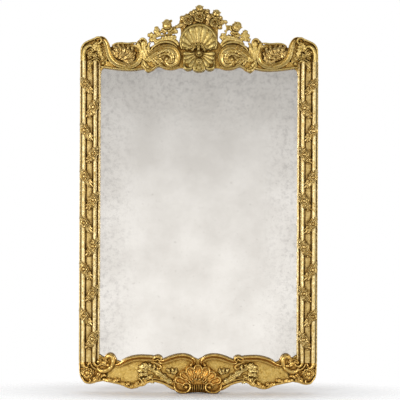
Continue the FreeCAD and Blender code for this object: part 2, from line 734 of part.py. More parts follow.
def trimmed(shape, neighbours):
    """Shape cut back to its neighbours; what is left is its largest piece."""
    for neighbour in neighbours:
        if shape.BoundBox.intersect(neighbour.BoundBox):
            shape = shape.cut(neighbour)
    return max(shape.Solids, key=lambda solid: solid.Volume)


def image_of(shape):
    """The shape on the other side of the centre line."""
    return shape.mirror(Vector(0, 0, 0), Vector(1, 0, 0))


def spaced(start, end, count):
    return [start + (end - start) * number / (count - 1) for number in range(count)]


# Rose: two rings of petals round a bud
def rose(x, z, radius):
    petals = []
    for number in range(5):
        petals.append(leaf(x, z, 90 + 72 * number, radius, 0.95 * radius))
    for number in range(5):
        petals.append(leaf(x, z, 54 + 72 * number, 0.7 * radius, 1.1 * radius))
    petals.append(knob(x, z, 0.45 * radius, drawn("rose_height")))
    return joined(petals)


# Cresting board: the sight edge over the plate, with a middle that rises behind the shell and the roses
volute_x = drawn("volute_place")
basin_radius = drawn("basin_radius") * (ear_in - volute_x) / drawn("basin_space")
basin_end = ear_in + 3 - 2 * basin_radius
plume_x = basin_end - 7
crest_low = -drawn("crest_drop")
crest_top = drawn("crest_rise")
shell_side = drawn("shell_radius") - 10
cresting_half = chain(
    (0, crest_low),
    (volute_x - 48, crest_low),
    ((volute_x - 10, crest_low - 9), (volute_x + 25, crest_low - 2)),
    ((volute_x + 44, crest_low + 4), (volute_x + 60, crest_low - 4)),
    ((volute_x + 82, crest_low - 16), (volute_x + 111, crest_low - 6)),
    (((volute_x + 96 + sight) / 2, crest_low - 12), (sight - 15, crest_low)),
    ((sight - 4, crest_low - 4), (sight, crest_low - 15)),
    (sight, -drawn("ear_foot")),
    (ear_in, -drawn("ear_foot")),
    (ear_in, 45),
    (((ear_in + plume_x + 34) / 2, 62), (plume_x + 34, 58)),
    (plume_x + 27, 66),
    ((plume_x + 6, 80), (plume_x - 13, 62)),
    (plume_x - 24, 36),
    (((plume_x + volute_x) / 2 - 13, 64), (volute_x - 2, 66)),
    (volute_x - 40, 58),
    (shell_side, 75),
    (shell_side, crest_top - 87),
    ((shell_side + 6, crest_top - 47), (55, crest_top - 16)),
    ((30, crest_top - 4), (0, crest_top)))
cresting_blank = padded_body("cresting_blank", "XZ_Plane", cresting_half + flipped(cresting_half), unit,
                             "Sizes.carcass_thick", "Sizes.board_thick")
keep(cut("cresting_board", cresting_blank, [carcass_screw_holes]), "cresting_board")

# Basin scroll: rolls over the ear, sweeps round the basin and ends in a raised tip
basin_path = run(ear_in + 50, 60, 0, (14, 180), (47, 95), (basin_radius, -185), (50, -60))
basin_scroll = scroll(basin_path, drawn("scroll_width"), drawn("scroll_height"))
basin_scroll_right = formed("basin_scroll_right", basin_scroll)
mirror_image(basin_scroll_right, "basin_scroll_left")

# Ears: a block over the end of the moulding, with the outer reed hooked round on it and a leaf cluster
ear_outline = chain(
    (half, -drawn("ear_foot")),
    (half, 34),
    ((half - 17, 66), (half - 56, 83)),
    ((half - 88, drawn("ear_rise")), (half - 124, 70)),
    (ear_in, 45),
    (ear_in, -drawn("ear_foot")),
    (half, -drawn("ear_foot")))
ear_block = padded_body("ear_block", "XZ_Plane", ear_outline, unit, "Sizes.carcass_thick", "Sizes.board_thick")
reed_x = half - drawn("outer_reed_place")
ear_rim = scroll(run(reed_x, -drawn("ear_foot"), 90, (0, 45), (26, 100), (9, 190)),
                 drawn("rim_width"), drawn("reed_height") - drawn("board_thick"))
doc.recompute()
moulding = moulding_right.Shape
ear_leaves = [leaf(ear_in + 62, 24, heading, 34, 28) for heading in range(0, 360, 90)]
ear_leaves.append(knob(ear_in + 62, 24, 12, 20))
ear_leaves.append(leaf(ear_in + 36, 66, 275, 70, 26))
ear_leaves.append(leaf(sight + drawn("inner_reed_place"), -drawn("ear_foot"), 100, 40, 24))
ear_relief = joined([ear_rim] + [trimmed(shape, [basin_scroll]) for shape in ear_leaves])
corner_top_right = formed("corner_top_right", trimmed(joined([ear_block.Shape, ear_relief]), [moulding]))
mirror_image(corner_top_right, "corner_top_left")

# Foliage that fills the basin
basin_x = ear_in + 3 - basin_radius
basin_scale = basin_radius / drawn("basin_radius")
basin_leaves = [leaf(basin_x, -22, heading, length * basin_scale, 34 * basin_scale)
                for heading, length in ((25, 62), (55, 74), (90, 78), (125, 74), (155, 62))]
basin_foliage_right = formed("basin_foliage_right", trimmed(joined(basin_leaves), [basin_scroll, ear_relief]))
mirror_image(basin_foliage_right, "basin_foliage_left")

# Volute scroll: a straight stem from the plume, the volute, and a rim along its back
stem_heading = 150
volute_radius = drawn("volute_radius")
tangent = Vector(volute_x + 4, 0, -3) + heading_vector(stem_heading - 90) * volute_radius
stem_start_x = plume_x - 20
stem_length = (stem_start_x - tangent.x) / -heading_vector(stem_heading).x
stem_start = tangent - heading_vector(stem_heading) * stem_length
volute_path = run(stem_start.x, stem_start.z, stem_heading, (0, stem_length),
                  (volute_radius, 180 - stem_heading), (0.92 * volute_radius, 90), (0.8 * volute_radius, 90),
                  (0.56 * volute_radius, 90), (0.34 * volute_radius, 60))
volute_band = scroll(volute_path, drawn("scroll_width"), drawn("scroll_height"))
volute_rim = scroll(run(volute_x + 74, 34, 130, (80, 90)), drawn("rim_width"), 0.7 * drawn("scroll_height"))
volute_eye = knob(volute_x + 10, -10, 11, drawn("scroll_height"))
volute = joined([volute_rim, volute_band, volute_eye])
volute_scroll_right = formed("volute_scroll_right", volute)
mirror_image(volute_scroll_right, "volute_scroll_left")

# Plume leaf between the basin and the volute, with the knob under it
plume_leaves = [
    leaf(plume_x - 18, -30, 78, 112, 34),
    leaf(plume_x - 20, -10, 62, 92, 20),
    knob(plume_x - 28, crest_low + 4, 17, 16),
    leaf(plume_x - 28, crest_low + 10, 75, 60, 24),
]
plume = trimmed(joined(plume_leaves), [basin_scroll, volute])
plume_leaf_right = formed("plume_leaf_right", plume)
mirror_image(plume_leaf_right, "plume_leaf_left")

# Crest shell: fluted fan with a raised rim over a collar
shell_z = drawn("shell_centre")
shell_angles = spaced(12, 168, int(size("shell_flutes")))
shell_fan = fan(0, shell_z, shell_angles, drawn("shell_hinge"), drawn("shell_radius") - 8,
                drawn("shell_depth"))
shell_rim = scroll(run(drawn("shell_radius"), shell_z, 90, (drawn("shell_radius"), 180)), 12,
                   0.8 * drawn("shell_depth"))
collar = knob(0, shell_z - 6, 26, 22)
volutes = [volute, image_of(volute)]
crest_shell = formed("crest_shell", trimmed(joined([shell_fan, shell_rim, collar]), volutes))

# Pendant palmette under the shell
pendant_fan = fan(0, 8, spaced(208, 332, int(size("pendant_lobes"))), 8, drawn("pendant_radius"),
                  drawn("pendant_depth"))
pendant = joined([pendant_fan, knob(0, 12, 12, 22)])
formed("crest_pendant", trimmed(pendant, [crest_shell.Shape] + volutes))

# Roses over the shell
shell_shape = crest_shell.Shape
rose_centre = trimmed(rose(1, 181, drawn("rose_radius")), [shell_shape])
rose_left = trimmed(rose(-51, 167, drawn("side_rose_radius")), [shell_shape, rose_centre])
rose_right = trimmed(rose(71, 154, drawn("side_rose_radius")), [shell_shape, rose_centre])
formed("crest_rose_centre", rose_centre)
formed("crest_rose_left", rose_left)
formed("crest_rose_right", rose_right)
roses = [shell_shape, rose_centre, rose_left, rose_right]

# Buds and leaves round the roses
buds = []
for bud_x, bud_z, heading in ((0, 203, 90), (58, 184, 45), (-30, 190, 120)):
    bud = joined([leaf(bud_x, bud_z, heading + turn, 34, 22) for turn in (-28, 0, 28)])
    buds.append(trimmed(bud, roses + buds))
formed("crest_buds", Part.makeCompound(buds))
leaves = []
for leaf_x, leaf_z, heading in ((30, 190, 55), (-66, 172, 150), (-70, 150, 200), (84, 166, 30), (86, 152, 0)):
    leaves.append(trimmed(leaf(leaf_x, leaf_z, heading, 38, 18), roses + buds + leaves))
formed("crest_leaves", Part.makeCompound(leaves))


# Rose sprays: a stem from the back of each volute, with a blossom and leaves
def rose_spray(side, blossom_x, blossom_z, tilt):
    stem = leaf(side * (volute_x - 4), 58, 90 + tilt, blossom_z - 58, 14)
    blossom = joined([leaf(blossom_x, blossom_z - 22, 90 + tilt + turn, 46, 28) for turn in (-35, 0, 35)])
    sprig = joined([leaf(side * (volute_x + 2), 70, 90 - side * turn, length, 18)
                    for turn, length in ((38, 70), (62, 66))])
    return joined([stem, blossom, sprig])


formed("rose_spray_left", trimmed(rose_spray(-1, -144, 142, 5), roses + leaves + volutes))
formed("rose_spray_right", trimmed(rose_spray(1, 160, 136, -12), roses + leaves + volutes))

# Apron board: its upper edge is the sight edge under the plate
apron_top = foot + drawn("apron_rise")
apron_low = foot - drawn("apron_drop")
apron_half = chain(
    (0, apron_top - 18),
    ((75, apron_top + 2), (150, apron_top - 13)),
    (164, apron_top - 18),
    ((190, apron_top - 5), (212, apron_top - 2)),
    (226, apron_top - 7),
    (((corner_in + 138) / 2, apron_top - 5), (corner_in - 88, apron_top - 29)),
    (corner_in - 74, apron_top - 23),
    ((corner_in - 46, apron_top + 2), (corner_in - 16, apron_top - 11)),
    (sight, apron_top - 1),
    (sight, foot + drawn("corner_foot")),
    (corner_in, foot + drawn("corner_foot")),
    (corner_in, apron_low + 34),
    ((corner_in - 55, apron_low + 26), (corner_in - 105, apron_low + 13)),
    ((corner_in - 142, apron_low - 1), (corner_in - 178, apron_low + 9)),
    (((corner_in - 28) / 2, apron_low + 31), (150, apron_low + 16)),
    ((70, apron_low - 17), (0, apron_low - 12)))
apron_board = padded_body("apron_board", "XZ_Plane", apron_half + flipped(apron_half), unit,
                          "Sizes.carcass_thick", "Sizes.board_thick")
keep(apron_board, "apron_board")

# Outer apron scrolls: an arch along the sight edge that starts from a knuckled loop near the corner
arch_top = apron_top - 12
outer_arch_path = arch((corner_in - 74, arch_top - 17), ((corner_in + 134) / 2, arch_top + 4),
                       (216, arch_top + 2))
outer_arch = scroll(outer_arch_path, drawn("scroll_width"), drawn("scroll_height"))
corner_loop = scroll(run(corner_in - 22, arch_top - 4, 120, (26, 165)),
                     drawn("scroll_width"), drawn("scroll_height"))
apron_scroll_outer = joined([outer_arch, corner_loop])
apron_scroll_outer_right = formed("apron_scroll_outer_right", apron_scroll_outer)
mirror_image(apron_scroll_outer_right, "apron_scroll_outer_left")

# Inner apron scrolls: an arch on each side of the middle, curled under at the centre line
inner_arch = scroll(run(168, arch_top - 10, 154, (165, 52), (13, 165)),
                    drawn("scroll_width"), drawn("scroll_height"))
clasp = leaf(166, arch_top - 46, 72, 58, 26)
apron_scroll_inner = joined([inner_arch, trimmed(clasp, [apron_scroll_outer])])
apron_scroll_inner_right = formed("apron_scroll_inner_right", apron_scroll_inner)
mirror_image(apron_scroll_inner_right, "apron_scroll_inner_left")

# Apron shell: fluted lobes over a base with two volutes
apron_shell_z = foot - drawn("apron_shell_drop")
apron_fan = fan(0, apron_shell_z, spaced(14, 166, int(size("apron_shell_lobes"))), drawn("shell_hinge"),
                drawn("apron_shell_radius"), drawn("apron_shell_depth"))
apron_shell_base = [knob(side * 54, apron_shell_z - 6, 21, 24) for side in (-1, 1)]
apron_shell_base.append(leaf(0, apron_shell_z - 26, 90, 84, 34))
apron_shell = trimmed(joined([apron_fan] + apron_shell_base),
                      [apron_scroll_inner, image_of(apron_scroll_inner)])
formed("apron_shell", apron_shell)

# Leaf sprays on the apron's two panels
spray_leaves = [leaf(150, foot - 22, heading, length, 22)
                for heading, length in ((28, 74), (60, 52), (352, 60))]
spray_leaves += [leaf(222, foot - 2, heading, 44, 20) for heading in (20, 80, 140, 330)]
spray_leaves.append(leaf(126, foot - 46, 50, 60, 18))
apron_spray_right = formed("apron_spray_right", trimmed(
    joined(spray_leaves), [apron_scroll_outer, apron_scroll_inner, apron_shell]))
mirror_image(apron_spray_right, "apron_spray_left")

# Leafy rim along the apron's lower edge
rim_run_path = arch((corner_in - 4, apron_low + 44), (corner_in - 55, apron_low + 37),
                    (corner_in - 104, apron_low + 24))
rim_run = scroll(rim_run_path, drawn("rim_width"), 0.7 * drawn("rim_height"))
rim_lobe_path = arch((corner_in - 98, apron_low + 26), (corner_in - 142, apron_low + 9),
                     (corner_in - 180, apron_low + 22))
rim_lobe = scroll(rim_lobe_path, drawn("rim_width"), 0.7 * drawn("rim_height"))
rim_leaves = [leaf(corner_in - 30 - 30 * number, apron_low + 42 - 5 * number, 110, 30, 20)
              for number in range(4)]
apron_rim_right = formed("apron_rim_right", trimmed(
    joined([rim_run, rim_lobe] + rim_leaves), [apron_spray_right.Shape, apron_scroll_outer]))
mirror_image(apron_rim_right, "apron_rim_left")

# Bottom corners: a block under the end of the moulding with the reed's volute, a rosette and leaves
corner_outline = chain(
    (half, foot + drawn("corner_foot")),
    (half - 3, foot - 2),
    ((half - 17, foot - 44), (half - 50, foot - drawn("corner_drop"))),
    ((half - 75, foot - 57), (corner_in, foot - 44)),
    (corner_in, foot + drawn("corner_foot")),
    (half, foot + drawn("corner_foot")))
corner_block = padded_body("corner_block", "XZ_Plane", corner_outline, unit,
                           "Sizes.carcass_thick", "Sizes.board_thick")
doc.recompute()
inner_reed_x = sight + drawn("inner_reed_place")
corner_volute = scroll(run(inner_reed_x, foot + drawn("corner_foot"), 270, (0, 8), (14, -200), (9, -120)),
                       drawn("rim_width"), drawn("reed_height") - drawn("board_thick"))
corner_leaves = [leaf(half - 40, foot - 6, heading, 36, 28) for heading in range(0, 360, 90)]
corner_leaves.append(knob(half - 40, foot - 6, 12, 20))
corner_leaves.append(leaf(half - 34, foot + 36, 255, 44, 24))
corner_leaves.append(leaf(corner_in + 14, foot - 34, 20, 44, 22))
corner_bottom = joined([corner_block.Shape, corner_volute] + corner_leaves)
corner_bottom_right = formed("corner_bottom_right", trimmed(
    corner_bottom, [moulding, apron_scroll_outer, apron_rim_right.Shape]))
mirror_image(corner_bottom_right, "corner_bottom_left")


def write_parts():
    """Check every object and every piece, then write each piece to its own file."""
    doc.recompute()
    for item in doc.Objects:
        if "Invalid" in item.State or "Error" in item.State:
            raise RuntimeError(f"{item.Label} failed: {item.State}")
    os.makedirs("parts", exist_ok=True)
    for piece in sub_parts:
        if piece.Shape.isNull() or not piece.Shape.isValid():
            raise RuntimeError(f"{piece.Label} has no valid shape")
    for piece in sub_parts:
        piece.Shape.exportStep(f"parts/{piece.Label}.step")


write_parts()
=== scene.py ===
import math

import bpy
from mathutils import Matrix, Vector


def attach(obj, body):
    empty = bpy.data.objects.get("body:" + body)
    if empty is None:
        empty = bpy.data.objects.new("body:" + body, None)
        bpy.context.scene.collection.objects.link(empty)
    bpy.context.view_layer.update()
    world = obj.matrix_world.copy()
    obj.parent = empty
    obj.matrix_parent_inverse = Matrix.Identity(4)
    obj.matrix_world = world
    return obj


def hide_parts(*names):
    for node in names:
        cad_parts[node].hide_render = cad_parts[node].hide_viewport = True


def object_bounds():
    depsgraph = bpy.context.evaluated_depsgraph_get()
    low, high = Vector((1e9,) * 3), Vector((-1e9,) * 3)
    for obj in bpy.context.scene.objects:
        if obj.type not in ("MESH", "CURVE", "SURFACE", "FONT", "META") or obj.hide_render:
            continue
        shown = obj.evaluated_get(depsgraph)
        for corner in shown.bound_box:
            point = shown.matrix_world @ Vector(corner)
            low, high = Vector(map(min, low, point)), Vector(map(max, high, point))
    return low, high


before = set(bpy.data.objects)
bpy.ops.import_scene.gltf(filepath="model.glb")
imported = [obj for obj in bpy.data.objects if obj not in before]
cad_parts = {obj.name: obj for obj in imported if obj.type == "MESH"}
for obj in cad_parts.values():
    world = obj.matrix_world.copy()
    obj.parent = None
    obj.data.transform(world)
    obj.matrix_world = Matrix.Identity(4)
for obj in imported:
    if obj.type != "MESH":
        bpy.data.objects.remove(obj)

cad_box = [list(corner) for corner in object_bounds()]
bpy.ops.object.select_all(action="DESELECT")


# Carcass, brace, batten and glass blocks: planed softwood, grey-brown with age, half lapped and pegged at
# the corners. The stiles and the brace have their grain upright, all the other timbers have it across.
def new_material(name):
    """New material, with its node tree and its shader."""
    material = bpy.data.materials.new(name)
    material.use_nodes = True
    return material, material.node_tree, material.node_tree.nodes["Principled BSDF"]


def feed(tree, node, inputs):
    """Set inputs of a node, each to a value or to the output that it follows."""
    for place, value in inputs.items():
        if isinstance(value, bpy.types.NodeSocket):
            tree.links.new(value, node.inputs[place])
        else:
            node.inputs[place].default_value = value


def add_node(tree, kind, out, inputs=None, **settings):
    """Add a node and give back one of its outputs."""
    node = tree.nodes.new(f"ShaderNode{kind}")
    for setting, value in settings.items():
        setattr(node, setting, value)
    feed(tree, node, inputs or {})
    return node.outputs[out]


def ramp(tree, share, low, high, *between):
    """Colour that follows a share through stops, each a position and a colour."""
    node = tree.nodes.new("ShaderNodeValToRGB")
    tree.links.new(share, node.inputs["Fac"])
    stops = node.color_ramp.elements
    for number, (position, colour) in enumerate((low, high, *between)):
        stop = stops[number] if number < 2 else stops.new(position)
        stop.position = position
        stop.color = (*colour, 1)
    return node.outputs["Color"]


def noise(tree, where, scale, detail, roughness=0.5, distortion=0.0):
    """Cloudy share that changes from place to place."""
    return add_node(tree, "TexNoise", "Fac", {"Vector": where, "Scale": scale, "Detail": detail,
                                              "Roughness": roughness, "Distortion": distortion})


def spread(tree, share, start, end, low=0.0, high=1.0):
    """Value that runs from low to high while a share runs from start to end."""
    return add_node(tree, "MapRange", "Result", {"Value": share, "From Min": start, "From Max": end,
                                                 "To Min": low, "To Max": high})


def blend(tree, share, first, second, way="MIX"):
    """Colour blended from two by a share."""
    return add_node(tree, "Mix", "Result", {"Factor": share, "A": first, "B": second},
                    data_type="RGBA", blend_type=way)


def softwood(name, grain_scale, pale, dark):
    """Old softwood: long streaks of growth rings and a few darker stains."""
    material, tree, shader = new_material(name)
    where = add_node(tree, "TexCoord", "Object")
    along = add_node(tree, "Mapping", "Vector", {"Vector": where, "Scale": grain_scale})
    rings = noise(tree, along, 1.0, 7, distortion=0.6)
    stain = noise(tree, where, 5, 3)
    tone = ramp(tree, rings, (0.36, dark), (0.62, pale))
    stained = blend(tree, stain, tone, (0.62, 0.56, 0.50, 1), "MULTIPLY")
    grain = add_node(tree, "Bump", "Normal", {"Height": rings, "Strength": 0.35, "Distance": 0.0012})
    feed(tree, shader, {"Base Color": stained, "Roughness": 0.78, "Normal": grain})
    return material


def dress(material, *names):
    """Give CAD nodes their finish."""
    for name in names:
        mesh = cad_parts[name].data
        mesh.materials.clear()
        mesh.materials.append(material)


PINE_PALE = (0.47, 0.33, 0.19)
PINE_DARK = (0.25, 0.155, 0.08)
upright_pine = softwood("upright_pine", (70, 70, 3.5), PINE_PALE, PINE_DARK)
cross_pine = softwood("cross_pine", (3.5, 70, 70), PINE_PALE, PINE_DARK)
dress(upright_pine, "carcass_stile_left", "carcass_stile_right", "crest_brace")
dress(cross_pine, "carcass_rail_top", "carcass_rail_bottom", "hanging_batten", "glass_blocks")

# Pegs of the lap joints: riven oak, whittled round, driven through both halves of each corner lap from the
# back and cut off flush.
peg_oak = softwood("peg_oak", (240, 30, 240), (0.30, 0.19, 0.10), (0.13, 0.075, 0.035))
dress(peg_oak, "lap_joint_pegs")

# Backboards: wide thin pine planks laid across in the rebate and nailed, each sawn from another part of the
# tree, so that each has its own tone and figure.
PLANKS = ((1.0, 62), (0.88, 48), (1.12, 75), (0.95, 55), (1.05, 66))
for number, (warmth, figure) in enumerate(PLANKS, start=1):
    plank = softwood(f"plank_{number}", (2.2 + 0.3 * number, 20, figure),
                     tuple(warmth * part for part in (0.52, 0.36, 0.21)),
                     tuple(warmth * part for part in (0.31, 0.19, 0.10)))
    dress(plank, f"backboard_{number}")

# Ironwork: forged hanger straps and rings, blackened, with a little brown rust, and the cut nails of the
# boards.
iron, tree, shader = new_material("forged_iron")
where = add_node(tree, "TexCoord", "Object")
rust = noise(tree, where, 160, 5)
feed(tree, shader, {
    "Metallic": 0.75,
    "Base Color": ramp(tree, rust, (0.42, (0.052, 0.047, 0.042)), (0.68, (0.115, 0.062, 0.036))),
    "Roughness": spread(tree, rust, 0, 1, 0.38, 0.75),
    "Normal": add_node(tree, "Bump", "Normal", {"Height": rust, "Strength": 0.4, "Distance": 0.0008})})
dress(iron, "hanger_strap_left", "hanger_strap_right", "hanger_ring_left", "hanger_ring_right",
      "backboard_nails")


# Wood screws of batten, brace and hangers: iron, with round heads and a sawn slot, each driven to its own
# angle. They stand where the CAD has plain bars.
def pick(*pieces):
    """Select pieces alone, the first one active."""
    bpy.ops.object.select_all(action="DESELECT")
    for piece in pieces:
        piece.select_set(True)
    bpy.context.view_layer.objects.active = pieces[0]


def join_pieces(pieces, name):
    """One object, with its place in its mesh, out of several."""
    pick(*pieces)
    bpy.ops.object.join()
    whole = bpy.context.object
    bpy.ops.object.transform_apply(location=True, rotation=True, scale=True)
    whole.name = name
    whole.data.name = name
    whole.select_set(False)
    return whole


def hand_over(piece, material, node):
    """Finish a piece, let it ride on the frame and stand for a CAD node."""
    piece.data.materials.clear()
    piece.data.materials.append(material)
    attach(piece, "frame")
    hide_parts(node)


def apply_all(piece):
    """Apply every modifier of a piece, in order."""
    pick(piece)
    for modifier in list(piece.modifiers):
        bpy.ops.object.modifier_apply(modifier=modifier.name)


def slotted_screw(radius, rise, shank_length):
    """Screw along Y with its domed head towards +Y and the head's flat at y = 0."""
    bpy.ops.mesh.primitive_uv_sphere_add(segments=20, ring_count=12, radius=radius)
    head = bpy.context.object
    bpy.ops.object.mode_set(mode="EDIT")
    bpy.ops.mesh.bisect(plane_co=(0, 0, 0), plane_no=(0, 1, 0), clear_inner=True, use_fill=True)
    bpy.ops.mesh.select_all(action="SELECT")
    bpy.ops.transform.resize(value=(1, rise / radius, 1))
    bpy.ops.object.mode_set(mode="OBJECT")
    bpy.ops.mesh.primitive_cube_add(size=1, location=(0, rise, 0))
    saw = bpy.context.object
    saw.scale = (0.22 * radius, rise, 3 * radius)
    bpy.context.view_layer.update()
    slot = head.modifiers.new("slot", "BOOLEAN")
    slot.operation = "DIFFERENCE"
    slot.object = saw
    apply_all(head)
    bpy.data.objects.remove(saw)
    bpy.ops.mesh.primitive_cylinder_add(vertices=14, radius=0.52 * radius, depth=shank_length,
                                        location=(0, -shank_length / 2, 0), rotation=(math.pi / 2, 0, 0))
    return join_pieces([head, bpy.context.object], "screw")


def copy_of(piece, name, placement):
    """Copy with its own mesh, moved by a matrix."""
    mesh = piece.data.copy()
    mesh.transform(placement)
    mesh.name = name
    copy = bpy.data.objects.new(name, mesh)
    bpy.context.scene.collection.objects.link(copy)
    return copy


def islands(name):
    """Middle of each separate solid of a CAD node and its rearmost y, by the corners that touch."""
    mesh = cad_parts[name].data
    places = [tuple(round(part, 5) for part in corner.co) for corner in mesh.vertices]
    groups = {place: place for place in places}

    def root(place):
        while groups[place] != place:
            place = groups[place]
        return place

    for face in mesh.polygons:
        first = root(places[face.vertices[0]])
        for index in face.vertices[1:]:
            groups[root(places[index])] = first
    solids = {}
    for place in groups:
        solids.setdefault(root(place), []).append(place)
    return [(sum(place[0] for place in solid) / len(solid), max(place[1] for place in solid),
             sum(place[2] for place in solid) / len(solid)) for solid in solids.values()]


SCREW_HEAD = 0.0042
SCREW_RISE = 0.0016
for node, length in (("carcass_screws", 0.030), ("hanger_screws", 0.011)):
    pattern = slotted_screw(SCREW_HEAD, SCREW_RISE, length)
    screws = []
    for number, (x, y, z) in enumerate(sorted(islands(node))):
        turned = Matrix.Translation((x, y - SCREW_RISE, z)) @ Matrix.Rotation(0.4 + 1.1 * number, 4, "Y")
        screws.append(copy_of(pattern, f"screw_{number}", turned))
    bpy.data.objects.remove(pattern)
    hand_over(join_pieces(screws, f"{node}_slotted"), iron, node)

# Mirror plate: old hand-polished glass, silvered on its back. The silvering is cloudy and thin in places,
# with dark specks, and grey with lost silver in patches towards the sides; towards the top the grey patches
# are painted shade.
foxed, tree, shader = new_material("foxed_silvering")
where = add_node(tree, "TexCoord", "Object")
cloud = noise(tree, where, 5, 8, 0.56)
clouded = ramp(tree, cloud, (0.36, (0.86, 0.845, 0.82)), (0.62, (0.975, 0.965, 0.945)))
speck = noise(tree, where, 70, 4)
speck_share = ramp(tree, speck, (0.64, (0, 0, 0)), (0.76, (0.35, 0.35, 0.35)))
spotted = blend(tree, speck_share, clouded, (0.42, 0.40, 0.37, 1))
across = add_node(tree, "SeparateXYZ", "X", {"Vector": where})
upward = add_node(tree, "SeparateXYZ", "Z", {"Vector": where})
aside = add_node(tree, "Math", "Value", {0: across}, operation="ABSOLUTE")
near_side = spread(tree, aside, 0.26, 0.45)
# Towards the top the grey patches are painted shade, a darker top to the plate.
near_top = spread(tree, upward, -0.38, -0.02)
near_edge = add_node(tree, "Math", "Value", {0: near_side, 1: near_top}, operation="MAXIMUM")
patch_noise = noise(tree, where, 42, 9, 0.75)
patch_share = spread(tree, patch_noise, 0.47, 0.66, 0, 0.60)
lost_silver_and_top_shade = add_node(tree, "Math", "Value", {0: near_edge, 1: patch_share}, operation="MULTIPLY")
silvering = blend(tree, lost_silver_and_top_shade, spotted, (0.44, 0.43, 0.43, 1))
haze = spread(tree, cloud, 0.3, 0.7, 0.15, 0.11)
feed(tree, shader, {"Metallic": 1.0, "Base Color": silvering, "Roughness": haze})
dress(foxed, "mirror_plate")


# Carved boards of cresting and apron: limewood under gesso and red clay, water gilded. The leaf is
# burnished on the high parts and rubbed through to the clay in places. Its hollows are darkened by ambient
# occlusion: old size and dust, and painted shade as well.
def gilding(name, bright, middle, clay, clay_share, punch=0.0, polish=(0.55, 0.27)):
    """Gold leaf on clay. clay_share sets how much clay shows, punch how strongly the ground is punched,
    and polish the roughness of worn and of burnished leaf. Backs are bare wood."""
    material, tree, shader = new_material(name)
    where = add_node(tree, "TexCoord", "Object")
    wear = noise(tree, where, 90, 8, 0.65)
    leaf = ramp(tree, wear, (0.24 + 0.2 * clay_share, clay), (0.70, bright),
                (0.34 + 0.2 * clay_share, middle))
    # Ambient occlusion darkens hollows and quirks: partly old size and dust, partly painted shade where
    # shadow falls.
    hollow = add_node(tree, "AmbientOcclusion", "AO", {"Distance": 0.027}, samples=6)
    dust_and_painted_shade = ramp(tree, hollow, (0.12, (0.15, 0.085, 0.018)), (0.86, (1, 1, 1)), (0.5, (0.45, 0.31, 0.12)))
    leaf_with_dust_and_shade = blend(tree, 1.0, leaf, dust_and_painted_shade, "MULTIPLY")
    facing = add_node(tree, "NewGeometry", "Normal")
    backward = add_node(tree, "SeparateXYZ", "Y", {"Vector": facing})
    behind = spread(tree, backward, 0.45, 0.75)
    bare_wood = ramp(tree, wear, (0, (0.20, 0.12, 0.05)), (1, (0.52, 0.36, 0.16)))
    backed = blend(tree, behind, leaf_with_dust_and_shade, bare_wood)
    metal = spread(tree, behind, 0, 1, 0.88, 0)
    rough = spread(tree, wear, 0.3, 0.7, *polish)
    gesso = noise(tree, where, 150, 4)
    punches = add_node(tree, "TexVoronoi", "Distance", {"Vector": where, "Scale": 430})
    ground = add_node(tree, "Mix", "Result", {"Factor": punch, "A": gesso, "B": punches})
    relief = add_node(tree, "Bump", "Normal", {"Height": ground, "Strength": 0.35 + 0.15 * punch,
                                               "Distance": 0.002})
    feed(tree, shader, {"Base Color": backed, "Metallic": metal, "Roughness": rough, "Normal": relief})
    return material


punched_gold = gilding("punched_gold", (0.74, 0.53, 0.178), (0.49, 0.316, 0.07), (0.22, 0.10, 0.025), 0.30,
                       punch=0.6)
dress(punched_gold, "cresting_board", "apron_board")

# Side mouldings: long runs of wood worked with moulding planes, with a bead beside the glass, two reeds
# with a flat channel between them, deep quirks beside each reed and a bead at the outer edge. All is
# gilded, the channel matt.
MM = 0.001
SIGHT_EDGE = 446
MOULDING_TOP = -20
MOULDING_LOW = -1375
CARCASS_FRONT = -44.3
CHANNEL = (34, 59)
RED_CLAY = (0.24, 0.10, 0.03)


def swell(middle, half, foot, crest, steps=8):
    """Rounded part of a moulding's section, as (offset, height) places from one side to the other."""
    return [(middle - half * math.cos(turn), foot + (crest - foot) * math.sin(turn))
            for turn in [math.pi * step / steps for step in range(steps + 1)]]


def mirrored(piece, name):
    """Copy for the other side, reflected in the middle of the mirror."""
    other = copy_of(piece, name, Matrix.Diagonal((-1, 1, 1, 1)))
    other.data.flip_normals()
    return other


section = ([(0, 0)] + swell(5.2, 5.2, 14, 20) + [(10.8, 14), (13.2, 14)] + swell(23, 9.2, 24, 40)
           + [(32.8, 22), (34, 22)] + swell(46.4, 12, 27.5, 29.5, 6) + [(59, 20), (61.4, 20)]
           + swell(72.4, 10.4, 24, 40) + [(83.2, 17), (84.2, 17)] + swell(88.2, 3.8, 18, 23) + [(92, 0)])
bpy.ops.curve.primitive_bezier_circle_add()
outline = bpy.context.object
outline.data.splines.clear()
spline = outline.data.splines.new("POLY")
spline.points.add(len(section) - 1)
for point, (offset, height) in zip(spline.points, section):
    point.co = ((SIGHT_EDGE + offset) * MM, (CARCASS_FRONT - height) * MM, MOULDING_LOW * MM, 1)
spline.use_cyclic_u = True
bpy.ops.object.convert(target="MESH")
moulding = bpy.context.object
bpy.ops.object.mode_set(mode="EDIT")
bpy.ops.mesh.select_all(action="SELECT")
bpy.ops.mesh.edge_face_add()
bpy.ops.mesh.extrude_region_move(TRANSFORM_OT_translate={"value": (0, 0, (MOULDING_TOP - MOULDING_LOW) * MM)})
bpy.ops.mesh.select_all(action="SELECT")
bpy.ops.mesh.normals_make_consistent(inside=False)
bpy.ops.object.mode_set(mode="OBJECT")
bpy.ops.object.shade_smooth_by_angle(angle=math.radians(35))
moulding.name = "side_moulding_right"
reed_gold = gilding("reed_gold", (0.90, 0.77, 0.45), (0.62, 0.455, 0.162), RED_CLAY, 0.2, polish=(0.62, 0.44))
matt_gold = gilding("matt_gold", (0.74, 0.58, 0.27), (0.54, 0.39, 0.13), RED_CLAY, 0.3, 0.5, (0.75, 0.60))
hand_over(mirrored(moulding, "side_moulding_left"), reed_gold, "reeded_moulding_left")
